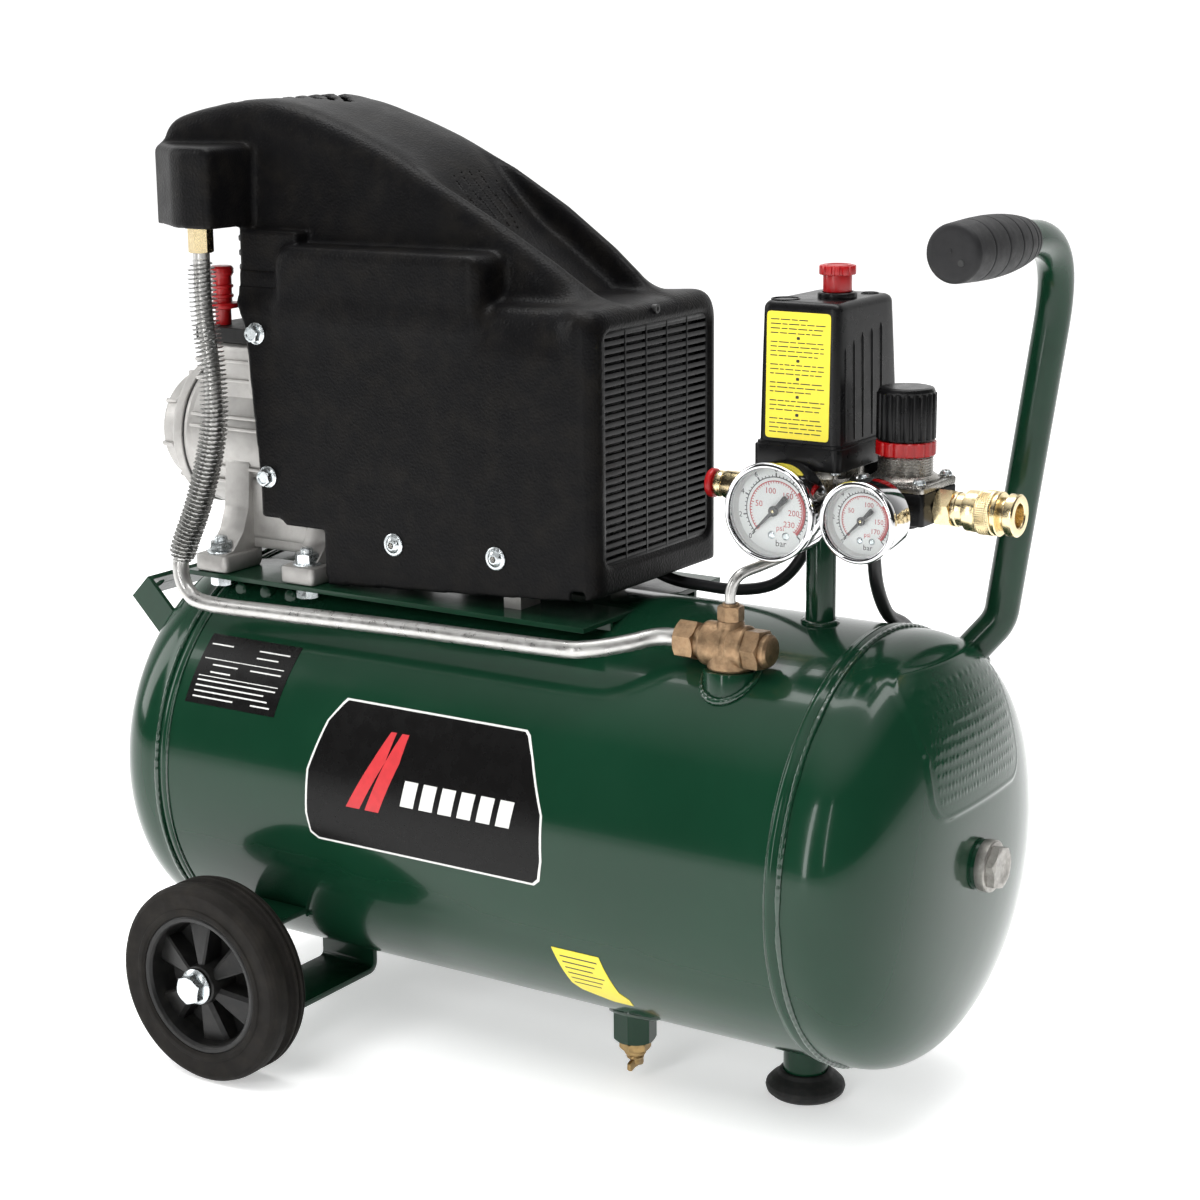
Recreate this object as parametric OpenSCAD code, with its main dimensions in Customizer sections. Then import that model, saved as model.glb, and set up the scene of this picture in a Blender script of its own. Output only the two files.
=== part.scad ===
// Portable air compressor: a horizontal receiver tank on two wheels and a rubber foot, with a
// direct-driven piston pump and motor under a moulded shroud, and a pressure switch group.
// +X runs along the tank towards the handle, -Y is the gauge side, +Z is up, the floor is z = 0.

/* [Tank] */
// Outside radius of the receiver tank
tank_r = 125; // [123:0.5:126]
// Wall thickness of the shell and the heads
tank_wall = 3; // [2:0.5:4]
// Height of the tank axis above the floor
tank_z = 162; // [161:0.5:164]
// Position of the rear seam along X
rear_seam = -217; // [-220:1:-214]
// Position of the front seam along X
front_seam = 205; // [203:1:208]
// Depth of the dished part of each head
dish_depth = 55; // [52:1:57]

/* [Wheels] */
// Radius of the rubber tyre, which is also the axle height
wheel_r = 61; // [58:0.5:64]
// Width of a wheel
wheel_w = 31; // [28:1:32]
// Position of the axle along X
wheel_x = -150; // [-155:1:-145]
// Distance from the middle to the inner face of a wheel
wheel_inner = 148.5; // [148:0.5:150]

/* [Pump and motor] */
// Height of the crankshaft and motor axis
crank_z = 362; // [361:0.5:363]
// Position of the cylinder axis along X
cyl_x = -200; // [-201:0.5:-199]
// Bore of the cylinder
bore_d = 42; // [40:0.5:43]
// Stroke of the piston
stroke = 30; // [26:1:30]
// Radius of the motor body
motor_r = 60; // [56:1:61]

/* [Shroud] */
// Half width of the lower part of the shroud
shroud_half = 70; // [70:0.5:72]
// Wall thickness of the shroud
shroud_wall = 3; // [2.5:0.5:3.5]
// Position of the grille face along X
grille_x = 64; // [62:1:66]
// Rows of slots in the grille
grille_rows = 21; // [10:1:22]
// Columns of slots in the grille
grille_cols = 5; // [3:1:6]

/* [Switch group] */
// Position of the riser pipe along X
riser_x = 170; // [169:0.5:171]
// Height of the manifold ports, the gauges and the outlet
port_z = 360; // [359:0.5:361]
// Radius of the tank gauge case
gauge_r = 26; // [24:0.5:26]
// Radius of the outlet gauge case
small_gauge_r = 21; // [19:0.5:21]

/* [Mains lead] */
// Diameter of the mains lead
cord_d = 8; // [7:0.5:8]
// Turns of the stored coil
coil_turns = 4; // [4:4:8]

/* [Hidden] */

$fn = 48;
fit = 0.05;            // radial clearance of a running fit
weld_gap = 0.02;       // keeps a welded-on piece clear of the curved tank
tank_green = [0.10, 0.24, 0.15];
cast_grey = [0.62, 0.62, 0.61];
black = [0.09, 0.09, 0.10];
brass = [0.78, 0.62, 0.32];
zinc = [0.78, 0.80, 0.82];
red = [0.72, 0.08, 0.08];

head_straight = 12;    // cylindrical part of a head beyond the seam
head_power = 2.62;     // exponent of the dish curve
spigot = 12;           // part of a head that slips into the shell
bung_r = 15;
bung_top = 272;
check_z = 285;         // height of the check valve axis
check_at = [150, -66];
drain_at = [70, -40];
plug_face = front_seam + head_straight + dish_depth;
plug_boss = 6;         // height of the threaded boss on the front head
plug_hex = 5;

bracket_x0 = wheel_x - 21;
bracket_w = 42;
plate_t = 4;
axle_z = wheel_r;
axle_r = 5;
wheel_outer = wheel_inner + wheel_w;
arm_y = 139;

foot_x = 163.5;
foot_r = 24.5;
post_r = 13.2;

strap_w = 20;
strap_t = 3;
strap_half = 70;
strap_at = [-284.5, 0, 267.5];
strap_tilt = 45;

deck_z = 285;          // top of the pump platform
deck_t = 3;
deck_x0 = -238;
deck_x1 = 60;
deck_half = 76;
lug_x = [-219, -150];
lug_y = 64;
lug_h = 11;
case_x0 = -262;
case_x1 = -164;
case_r = 47;
case_bore = 41;
cyl_base = 424;
cyl_top = 500;
pin_z = 474;           // wrist pin height with the piston at the top
rod_len = pin_z - crank_z - stroke / 2;
shaft_r = 8.5;
bearing_r = 20;
bearing_w = 12;
front_bearing_x = -8;

tube_r = 10;
grip_axis = [276.5, 0, 503.5];
grip_root = 20;
grip_end = -65.5;
handle_route = [[222, 62, 247], [246, 75, 282], [276.5, 81, 503.5], [276.5, -57, 503.5]];

head_exit = [-209, -81];
roof_r = 430;          // radius of the long roof curve
roof_x = -250;
roof_top = 578.5;

switch_x0 = 146;
switch_x1 = 196;
switch_y0 = -31;
switch_y1 = 38;
switch_z = 392;
switch_top = 470;
knob_x = 178;
gauge_face = -62;
outlet_x = 223;
reg_x0 = 200;
reg_x1 = 242;
reg_half = 21;
reg_top = 370;
reg_low = 352;         // underside of the regulator body
coupler_end = 289;     // open end of the quick coupler
ring_z = 387;

lead_r = 3.5;
lead_route = [[152, 25, 369], [151, 26, 345], [143, 29, 318], [124, 33, 298], [98, 35, 290],
    [70, 35, 289.5], [50, 35, 291], [32, 34, 298], [16, 34, 310], [8, 34, 316], [0, 34, 316]];
unloader_r = 3;
unloader_route = [[150, -66, 304], [150, -66, 316], [153, -61, 324], [158, -46, 327],
    [161, -26, 329], [161, -13, 332], [161, -9, 338], [161, -9, 346]];
tube_bare_r = 5;
tube_fin_r = 9;
tube_route = [[-209, -81, 492], [-209, -81, 484], [-208, -82, 450], [-202, -84, 410], [-202, -86, 375],
    [-212, -89, 335], [-224, -92, 304], [-226, -94, 290], [-220, -95, 277], [-204, -95, 271],
    [-150, -95, 272], [-50, -95, 275], [50, -95, 277], [72, -91, 278], [90, -79, 281],
    [102, -69, 284], [112, -66, 285], [124, -66, 285]];
finned_rings = [5, 25]; // rings of the swept tube that carry the wound fin

cord_r = cord_d / 2;
gland_at = [190, 24, 379];
coil_r = 43;
coil_at = [60, 175];
coil_w = cord_d * 3;
coil_h = cord_d * coil_turns / 2;
cord_route = [[190, 24, 345], [190, 25, 325], [190, 30, 304], [190, 44, 285], [190, 64, 275],
    [190, 84, 261], [190, 102, 243], [190, 116, 220], [190, 126, 193], [190, 130, 164],
    [190, 130, 120], [190, 130, 80], [189, 130, 52], [184, 129, 28], [171, 127, 11],
    [152, 125, 4.2], [130, 124, 4.2], [110, 124, 4.2], [84, 124, 4.2]];
plug_at = [20, 124, 17.2];

function arc(c, r, a0, a1, n) =
    [for (i = [0:n]) c + r * [cos(a0 + (a1 - a0) * i / n), sin(a0 + (a1 - a0) * i / n)]];
function rounded(w, h, r) = concat(
    arc([w / 2 - r, h / 2 - r], r, 0, 90, 4), arc([-w / 2 + r, h / 2 - r], r, 90, 180, 4),
    arc([-w / 2 + r, -h / 2 + r], r, 180, 270, 4), arc([w / 2 - r, -h / 2 + r], r, 270, 360, 4));
function unit(v) = v / norm(v);
function spline(p, k) = [
    for (i = [0:len(p) - 2], j = [0:k - 1])
        let (t = j / k, a = p[max(i - 1, 0)], b = p[i], c = p[i + 1], d = p[min(i + 2, len(p) - 1)])
            0.5 * (2 * b + (c - a) * t + (2 * a - 5 * b + 4 * c - d) * t * t
                + (3 * b - a - 3 * c + d) * t * t * t),
    p[len(p) - 1]];
// Rounds each inner corner of a path with a parabola that starts d before it.
function eased(p, d, k) = [
    p[0],
    for (i = [1:len(p) - 2], j = [0:k])
        let (t = j / k, a = p[i] + d[i - 1] * unit(p[i - 1] - p[i]),
             b = p[i] + d[i - 1] * unit(p[i + 1] - p[i]))
            (1 - t) * (1 - t) * a + 2 * t * (1 - t) * p[i] + t * t * b,
    p[len(p) - 1]];
function heading(p, i) = unit(p[min(i + 1, len(p) - 1)] - p[max(i - 1, 0)]);
function across(v, t) = unit(v - (v * t) * t);
function sides_of(p, v) = [
    for (i = 0, u = across(v, heading(p, 0)); i < len(p);
         i = i + 1, u = i < len(p) ? across(u, heading(p, i)) : u) u];

// A closed tube swept along a path, with its own radius at each ring.
module sweep(p, radii, sides, side0 = [0, 1, 0]) {
    n = len(p);
    u = sides_of(p, side0);
    points = [for (i = [0:n - 1]) let (w = cross(heading(p, i), u[i])) for (j = [0:sides - 1])
        p[i] + radii[i] * (cos(360 * j / sides) * u[i] + sin(360 * j / sides) * w)];
    faces = concat([[for (j = [0:sides - 1]) j]],
        [for (i = [0:n - 2], j = [0:sides - 1])
            [i * sides + j, (i + 1) * sides + j, (i + 1) * sides + (j + 1) % sides]],
        [for (i = [0:n - 2], j = [0:sides - 1])
            [i * sides + j, (i + 1) * sides + (j + 1) % sides, i * sides + (j + 1) % sides]],
        [[for (j = [sides - 1:-1:0]) (n - 1) * sides + j]]);
    polyhedron(points, faces, convexity = 6);
}
module tube(p, r, sides, side0 = [0, 1, 0]) {
    sweep(p, [for (i = [0:len(p) - 1]) r], sides, side0);
}
module along_x(x, y, z) { translate([x, y, z]) rotate([0, 90, 0]) children(); }
module along_y(x, y, z) { translate([x, y, z]) rotate([-90, 0, 0]) children(); }
module block(lo, hi) { translate(lo) cube(hi - lo); }
// Extrudes an outline drawn in X and Z from y0 to y1.
module side_plate(outline, y0, y1) {
    translate([0, y1, 0]) rotate([90, 0, 0]) linear_extrude(y1 - y0) polygon(outline);
}
module both_sides() { children(); mirror([0, 1, 0]) children(); }
module tank_solid(grow = weld_gap) {
    along_x(rear_seam - 100, 0, tank_z) cylinder(r = tank_r + grow, h = 700, $fn = 96);
}

/* Tank ------------------------------------------------------------------------------------ */
function dish(r, h, n) =
    [for (i = [0:n]) let (a = 90 * i / n)
        [r * pow(cos(a), 2 / head_power), head_straight + h * pow(sin(a), 2 / head_power)]];
function reversed(p) = [for (i = [len(p) - 1:-1:0]) p[i]];
module head(outer_only = false) {
    inner_r = tank_r - 2 * tank_wall;
    outer = concat([[tank_r - tank_wall - weld_gap, 0], [tank_r, 0], [tank_r + 1.4, 1.5],
        [tank_r + 1.4, 4], [tank_r, 6]], dish(tank_r, dish_depth, 14));
    inner = concat([[inner_r, -spigot]], dish(inner_r, dish_depth - tank_wall, 14));
    rotate_extrude($fn = 96)
        polygon(outer_only ? concat(outer, [[0, 0]])
            : concat([[tank_r - tank_wall - weld_gap, -spigot]], outer, reversed(inner)));
}
module rear_head_at() { along_x(rear_seam, 0, tank_z) mirror([0, 0, 1]) children(); }
module tank_shell() {
    color(tank_green) difference() {
        union() {
            along_x(rear_seam, 0, tank_z) cylinder(r = tank_r, h = front_seam - rear_seam, $fn = 96);
            translate([check_at.x, check_at.y, 240]) cylinder(r = bung_r, h = bung_top - 240);
            translate([drain_at.x, drain_at.y, 26]) cylinder(r = 13, h = 30, $fn = 6);
            translate([foot_x, 0, 8]) cylinder(r = post_r, h = 40);
        }
        along_x(rear_seam - 1, 0, tank_z)
            cylinder(r = tank_r - tank_wall, h = front_seam - rear_seam + 2, $fn = 96);
        translate([check_at.x, check_at.y, 230]) cylinder(r = 9, h = 60);
        translate([drain_at.x, drain_at.y, 20]) cylinder(r = 7, h = 60);
        translate([riser_x, 0, 250]) cylinder(r = 5, h = 60);
    }
}
module front_head() {
    color(tank_green) difference() {
        union() {
            along_x(front_seam, 0, tank_z) head();
            along_x(plug_face - 3, 0, tank_z) cylinder(r = 14.2, h = plug_boss + 3);
        }
        along_x(plug_face - 20, 0, tank_z) cylinder(r = 10, h = 40);
    }
}
module rear_head() { color(tank_green) rear_head_at() head(); }
module tank_plug() {
    color(zinc) {
        along_x(plug_face - 4, 0, tank_z) cylinder(r = 10, h = plug_boss + 4);
        along_x(plug_face + plug_boss, 0, tank_z) cylinder(r = 14.7, h = 2);
        along_x(plug_face + plug_boss + 2, 0, tank_z) cylinder(r = 13, h = plug_hex, $fn = 6);
    }
}
module riser_pipe() {
    color(tank_green) difference() {
        translate([riser_x, 0, 280]) cylinder(r = 8.5, h = port_z - 16 - 280);
        translate([riser_x, 0, 270]) cylinder(r = 5.5, h = 120);
        tank_solid();
    }
}
module drain_valve() {
    color(brass) difference() {
        translate([drain_at.x, drain_at.y, 0]) {
            translate([0, 0, 26]) cylinder(r = 7, h = 20);
            translate([0, 0, 20]) cylinder(r = 8.5, h = 6, $fn = 6);
            translate([0, 0, 18]) cylinder(r = 6, h = 2);
        }
        translate([drain_at.x, drain_at.y, 10]) cylinder(r = 3.05, h = 40);
    }
}
module drain_screw() {
    color(brass) translate([drain_at.x, drain_at.y, 0]) {
        translate([0, 0, 17]) cylinder(r = 3, h = 20);
        translate([0, 0, 15.5]) cylinder(r = 5.4, h = 2);
        translate([-1.5, -8, 8]) cube([3, 16, 8]);
    }
}

/* Running gear ------------------------------------------------------------------------------ */
module wheel_brackets() {
    color(tank_green) difference() {
        both_sides() {
            block([bracket_x0, 34, 26], [bracket_x0 + bracket_w, 34 + plate_t, 60]);
            block([bracket_x0, 34, 26], [bracket_x0 + bracket_w, arm_y + plate_t, 26 + plate_t]);
            block([bracket_x0, arm_y, 26], [bracket_x0 + bracket_w, arm_y + plate_t, 90]);
            block([bracket_x0, 90, 86], [bracket_x0 + bracket_w, arm_y + plate_t, 90]);
        }
        tank_solid();
        along_y(wheel_x, -200, axle_z) cylinder(r = axle_r + 0.2, h = 400);
    }
}
module axle_bolts() {
    color(zinc) both_sides() {
        along_y(wheel_x, 130, axle_z) cylinder(r = axle_r, h = wheel_outer + 1 - 130);
        along_y(wheel_x, arm_y - 8, axle_z) cylinder(r = 9.2, h = 8, $fn = 6);
        along_y(wheel_x, arm_y + plate_t, axle_z) cylinder(r = 8, h = wheel_inner - arm_y - plate_t - 0.3);
        along_y(wheel_x, wheel_outer + 0.3, axle_z) cylinder(r = 11, h = 2);
        along_y(wheel_x, wheel_outer + 2.3, axle_z) cylinder(r = 9.2, h = 6, $fn = 6);
    }
}
module wheel_at(side) {
    mirror([0, side > 0 ? 0 : 1, 0]) translate([wheel_x, wheel_inner, axle_z]) rotate([-90, 0, 0])
        children();
}
module wheel_hub() {
    color(black) difference() {
        union() {
            difference() {
                cylinder(r = 43, h = wheel_w, $fn = 72);
                translate([0, 0, -1]) cylinder(r = 38.5, h = wheel_w + 2, $fn = 72);
            }
            translate([0, 0, 12]) cylinder(r = 40, h = 5);
            cylinder(r = 12, h = wheel_w);
            for (a = [0:60:300]) rotate(a) translate([8, -3, 5]) cube([32, 6, wheel_w - 10]);
        }
        translate([0, 0, -1]) cylinder(r = axle_r + fit, h = wheel_w + 2);
        for (a = [30:60:330]) rotate(a) translate([25, 0, 0]) cylinder(r = 7, h = wheel_w);
    }
}
module tyre() {
    w = wheel_w;
    r = wheel_r;
    color([0.07, 0.07, 0.07]) rotate_extrude($fn = 96)
        polygon(concat([[43, 0], [r - 14, 0], [r - 13, 1], [r - 11, 1], [r - 10, 0]],
            arc([r - 6, 6], 6, -90, -10, 4),
            [[r, 9], [r - 1.2, 9.6], [r - 1.2, 11], [r, 11.6], [r, w - 11.6], [r - 1.2, w - 11],
             [r - 1.2, w - 9.6], [r, w - 9]],
            arc([r - 6, w - 6], 6, 10, 90, 4),
            [[r - 10, w], [r - 11, w - 1], [r - 13, w - 1], [r - 14, w], [43, w]]));
}
module left_wheel() { wheel_at(-1) wheel_hub(); }
module left_tyre() { wheel_at(-1) tyre(); }
module right_wheel() { wheel_at(1) wheel_hub(); }
module right_tyre() { wheel_at(1) tyre(); }
module rubber_foot() {
    color(black) difference() {
        translate([foot_x, 0, 0]) rotate_extrude()
            polygon([[0, 0], [foot_r - 1, 0], [foot_r, 1.5], [foot_r, 5], [foot_r - 2, 7],
                [post_r + 4, 10], [post_r + 3, 18], [0, 18]]);
        translate([foot_x, 0, 8]) cylinder(r = post_r, h = 20);
    }
}
module rear_strap() {
    color(tank_green) difference() {
        translate(strap_at) rotate([0, strap_tilt, 0]) difference() {
            union() {
                translate([0, -strap_half, -strap_w / 2]) cube([strap_t, 2 * strap_half, strap_w]);
                both_sides() translate([0, strap_half - strap_t, -strap_w / 2])
                    cube([46, strap_t, strap_w]);
            }
            for (y = [-56, 56]) along_x(-1, y, 2) cylinder(r = 4, h = strap_t + 2);
        }
        rear_head_at() head(outer_only = true);
    }
}
module handle_tube() {
    color(tank_green) difference() {
        tube(eased(handle_route, [22, 50], 9), tube_r, 20);
        along_x(front_seam, 0, tank_z) head(outer_only = true);
    }
}
module handle_grip() {
    n = 24;
    len_y = grip_root - grip_end;
    function barrel(t) = 11.8 + 3.4 * t + 3 * sin(180 * pow(t, 0.8));
    color(black) difference() {
        translate([grip_axis.x, grip_root, grip_axis.z]) rotate([90, 0, 0]) rotate_extrude($fn = 64)
            polygon(concat([[0, 0]],
                [for (i = [0:n]) [barrel(i / n) - (i % 4 == 3 ? 1 : 0), len_y * i / n - (i == n ? 2 : 0)]],
                [[13, len_y], [0, len_y]]));
        translate([grip_axis.x, grip_root + 1, grip_axis.z]) rotate([90, 0, 0])
            cylinder(r = tube_r, h = len_y - 5);
        translate([grip_axis.x + 5, grip_end + 3, grip_axis.z - 4]) rotate([90, 0, 0])
            cylinder(r = 1.6, h = 6);
    }
}

/* Pump -------------------------------------------------------------------------------------- */
module lug_places() { for (x = lug_x, y = [-lug_y, lug_y]) translate([x, y, 0]) children(); }
module pump_platform() {
    color(tank_green) difference() {
        union() {
            block([deck_x0, -deck_half, deck_z - deck_t], [deck_x1, deck_half, deck_z]);
            both_sides() block([deck_x0, 45, 264], [deck_x1, 45 + deck_t, deck_z - deck_t]);
        }
        tank_solid();
        rear_head_at() head(outer_only = true);
        lug_places() translate([0, 0, 270]) cylinder(r = 4.3, h = 20);
    }
}
module crankcase() {
    color(cast_grey) difference() {
        union() {
            along_x(case_x0, 0, crank_z) cylinder(r = case_r, h = case_x1 - case_x0, $fn = 72);
            block([-244, -38, crank_z], [case_x1, 38, cyl_base]);
            block([-226, -44, deck_z + lug_h], [case_x1, 44, crank_z - 20]);
            block([-226, -44, deck_z + lug_h], [-137, 44, 304]);
            for (x = lug_x) block([x - 13, -lug_y - 11, deck_z], [x + 13, lug_y + 11, deck_z + lug_h]);
            both_sides() {
                block([-188, 30, 400], [-168, shroud_half - 3.1, cyl_base - 0.1]);
                block([-188, 42, 400], [-168, shroud_half - 3.1, 446]);
                block([-184, 30, 339], [-166, shroud_half - 3.1, 359]);
            }
        }
        translate([cyl_x, 0, cyl_base]) cylinder(r = 48, h = 40);
        along_x(case_x0 - 1, 0, crank_z) cylinder(r = case_bore, h = -176 - case_x0 + 1, $fn = 72);
        along_x(-180, 0, crank_z) cylinder(r = bearing_r, h = 40);
        translate([cyl_x, 0, crank_z]) cylinder(r = bore_d / 2 + 3, h = 80);
        block([-240, -36, deck_z - 1], [-130, 36, 299]);
        lug_places() translate([0, 0, 270]) cylinder(r = 4.3, h = 40);
        cover_bolts(2.6);
    }
}
module cover_bolts(r) {
    for (p = [[-178, 436], [-173, 349]])
        both_sides() along_y(p[0], shroud_half - 14, p[1]) cylinder(r = r, h = 14.2);
}
module crankcase_cover() {
    color(cast_grey) difference() {
        union() {
            along_x(case_x0 - 10, 0, crank_z) cylinder(r = case_r + 1, h = 10, $fn = 72);
            along_x(-293, 0, crank_z) cylinder(r = 35, h = 22, $fn = 72);
            for (a = [0:45:315]) along_x(-286, 0, crank_z) rotate(a)
                translate([30, -2, 0]) cube([16, 4, 16]);
        }
        along_x(case_x0 - 6, 0, crank_z) cylinder(r = case_bore, h = 10);
        along_x(-289, 0, crank_z) cylinder(r = 30, h = 24);
    }
}
module cylinder_barrel() {
    color(black) difference() {
        union() {
            block([-254, -40, cyl_base], [-158, 40, cyl_base + 9]);
            translate([cyl_x, 0, cyl_base]) cylinder(r = 28, h = cyl_top - cyl_base);
            for (z = [cyl_base + 17:9:cyl_top - 12]) translate([cyl_x, 0, z]) cylinder(r = 38, h = 3);
            translate([cyl_x, 0, cyl_top - 6]) cylinder(r = 38, h = 6);
        }
        translate([cyl_x, 0, cyl_base - 1]) cylinder(r = bore_d / 2, h = 90, $fn = 72);
    }
}
module cylinder_head() {
    color(cast_grey) {
        translate([cyl_x, 0, cyl_top]) cylinder(r = 38, h = 4);
        block([cyl_x - 36, -36, cyl_top + 4], [cyl_x + 36, 36, cyl_top + 32]);
        for (y = [-30:12:30]) block([cyl_x - 36, y - 1.5, cyl_top + 32], [cyl_x + 36, y + 1.5, cyl_top + 44]);
    }
}
module pump_bearings() {
    color(zinc) for (x = [-176, front_bearing_x]) along_x(x, 0, crank_z) difference() {
        cylinder(r = bearing_r, h = bearing_w);
        translate([0, 0, -1]) cylinder(r = shaft_r + fit, h = bearing_w + 2);
    }
}
module breather_plug() {
    color(red) translate([-241, -28, 0]) {
        translate([0, 0, cyl_base + 9]) cylinder(r = 5, h = 12);
        translate([0, 0, cyl_base + 20]) cylinder(r = 10.5, h = 3);
        translate([0, 0, cyl_base + 23]) cylinder(r = 6, h = 22);
        translate([0, 0, cyl_base + 42]) cylinder(r = 7.5, h = 4);
    }
}
module piston() {
    r = bore_d / 2 - 0.04;
    color([0.7, 0.7, 0.72]) {
        difference() {
            translate([cyl_x, 0, pin_z - 16]) cylinder(r = r, h = 40, $fn = 72);
            translate([cyl_x, 0, pin_z - 17]) cylinder(r = 16.5, h = 34);
        }
        along_x(cyl_x - 17, 0, pin_z) cylinder(r = 6, h = 34);
    }
}
module connecting_rod() {
    big_z = crank_z + stroke / 2;
    color([0.66, 0.67, 0.68]) difference() {
        union() {
            along_x(cyl_x - 6, 0, pin_z) cylinder(r = 9, h = 12);
            along_x(cyl_x - 6, 0, big_z) cylinder(r = 14, h = 12);
            block([cyl_x - 4, -6, big_z], [cyl_x + 4, 6, pin_z]);
            along_x(cyl_x + 6, 0, big_z) cylinder(r = 8, h = 3.6);
        }
        along_x(cyl_x - 7, 0, pin_z) cylinder(r = 6 + fit, h = 14);
    }
}
module crankshaft() {
    color([0.5, 0.5, 0.52]) {
        along_x(cyl_x + 10, 0, crank_z) {
            cylinder(r = 24, h = 12);
            intersection() {
                cylinder(r = 38, h = 12, $fn = 72);
                translate([4, -34, 0]) cube([40, 68, 12]);
            }
        }
        along_x(cyl_x + 22, 0, crank_z) cylinder(r = shaft_r, h = 218);
    }
}
module motor_rotor() {
    color([0.45, 0.45, 0.47]) along_x(-122, 0, crank_z) difference() {
        cylinder(r = 35, h = 88, $fn = 72);
        translate([0, 0, -1]) cylinder(r = shaft_r, h = 90);
    }
}
module cooling_fan() {
    color(black) along_x(14, 0, crank_z) difference() {
        union() {
            cylinder(r = 14, h = 18);
            for (a = [0:45:315]) rotate(a) translate([10, 0, 2]) rotate([28, 0, 0])
                cube([40, 2, 16]);
        }
        translate([0, 0, -1]) cylinder(r = shaft_r, h = 30);
    }
}
module motor_body() {
    color([0.5, 0.5, 0.52]) difference() {
        union() {
            along_x(case_x1, 0, crank_z) cylinder(r = 56, h = 34, $fn = 72);
            along_x(-134, 0, crank_z) cylinder(r = motor_r, h = 138, $fn = 72);
            for (x = [-78, -4]) block([x - 8, -shroud_half + 3.1, 309], [x + 8, shroud_half - 3.1, 325]);
            both_sides() block([-8, 37, deck_z], [4, 57, 322]);
        }
        along_x(case_x1 - 1, 0, crank_z) cylinder(r = 14, h = 200);
        along_x(-150, 0, crank_z) cylinder(r = 50, h = 30);
        along_x(-124, 0, crank_z) cylinder(r = 35.6, h = 92, $fn = 72);
        along_x(-32, 0, crank_z) cylinder(r = 50, h = 24);
        along_x(front_bearing_x, 0, crank_z) cylinder(r = bearing_r, h = 20);
        along_x(-2, 34, 316) cylinder(r = 5, h = 10);
        motor_screws(2.6);
    }
}
module motor_screws(r) {
    for (x = [-78, -4]) both_sides() along_y(x, shroud_half - 14, 317) cylinder(r = r, h = 14.2);
}
module run_capacitor() {
    color([0.75, 0.75, 0.74]) along_x(-104, -42, 452) cylinder(r = 17, h = 72);
}
module pump_bolts() {
    color(zinc) lug_places() {
        translate([0, 0, 273]) cylinder(r = 4, h = 26);
        translate([0, 0, deck_z + lug_h]) cylinder(r = 9, h = 1.6);
        translate([0, 0, deck_z + lug_h + 1.6]) cylinder(r = 7.5, h = 5.4, $fn = 6);
        translate([0, 0, deck_z - deck_t - 7]) cylinder(r = 7.5, h = 7, $fn = 6);
    }
}

/* Shroud ------------------------------------------------------------------------------------ */
// Height of the long roof curve at x.
function roof(x) = roof_top - roof_r + sqrt(roof_r * roof_r - pow(x - roof_x, 2));
// Side outline of the lower part, inset by t.
function lower_side(t) = concat(
    [[-178 - 2 * t, 497 - t], [-172 - 2 * t, 436], [-168 - 2 * t, 350], [-170 - 2 * t, 320],
     [-133 + t, 320 - (t > 0 ? 60 : 0)], [-130 + t, 286.5 - (t > 0 ? 60 : 0)],
     [40 - t, 297 - (t > 0 ? 60 : 0)], [grille_x - t, 300 - (t > 0 ? 60 : 0)]],
    arc([grille_x - 12, 458], 12 - t, 0, 80, 4),
    [[-4 - t, 460 - t]], [[-14 - t, 470]],
    arc([-24, 477], 12 - t, 0, 90, 4), [[-166 - 2 * t, 489 - t]]);
// Side outline of the spine and head cover, inset by t.
function spine_side(t) = concat(
    [[-258 + t, 500 - (t > 0 ? 60 : 0)], [-258 + t, 552], [-252 + t, 561 - t], [-238, 568 - t],
     [-215, 572 - t]],
    [for (x = [-188:22:32]) [x, roof(x) - t]],
    [[46, roof(46) - t], [46, 430 - (t > 0 ? 10 : 0)], [-180, 430 - (t > 0 ? 10 : 0)],
     [-180, 500 - (t > 0 ? 60 : 0)]]);
function spine_plan(t) = [[-258 + t, -58 + t], [-186, -54 + t], [46 - t, -36 + t],
    [46 - t, 36 - t], [-186, 54 - t], [-258 + t, 58 - t]];
function pod_plan(t) = [[-258 + t, -66 + t], [-222 + t / 2, -93 + t], [-191 - t, -93 + t],
    [-191 - t, -40], [-258 + t, -40]];
module shroud_form(t) {
    side_plate(lower_side(t), -shroud_half + t, shroud_half - t);
    intersection() {
        side_plate(spine_side(t), -100, 100);
        translate([0, 0, 400]) linear_extrude(300) polygon(spine_plan(t));
    }
    translate([0, 0, t > 0 ? 440 : 500]) linear_extrude(t > 0 ? 549 - t - 440 : 49)
        polygon(pod_plan(t));
}
module grille_slots() {
    pitch_y = 116 / grille_cols;
    pitch_z = 136 / grille_rows;
    for (c = [0:grille_cols - 1], r = [0:grille_rows - 1])
        translate([grille_x - 8, -58 + pitch_y * (c + 0.5) - 10, 315 + pitch_z * (r + 0.5) - 1.9])
            cube([12, 20, 3.8]);
}
module shroud() {
    color(black) difference() {
        shroud_form(0);
        shroud_form(shroud_wall);
        block([-300, -shroud_half + 3, 250], [-160, shroud_half - 3, 486]);
        block([-262, -50, 490], [-240, 50, 502]);
        block([grille_x - 1.5, -59, 314], [grille_x + 2, 59, 452]);
        grille_slots();
        for (i = [0:8]) translate([-238 + 8 * i, 0, 560]) rotate(-35) cube([3, 66, 40], center = true);
        cover_bolts(2.8);
        motor_screws(2.8);
    }
}
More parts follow.
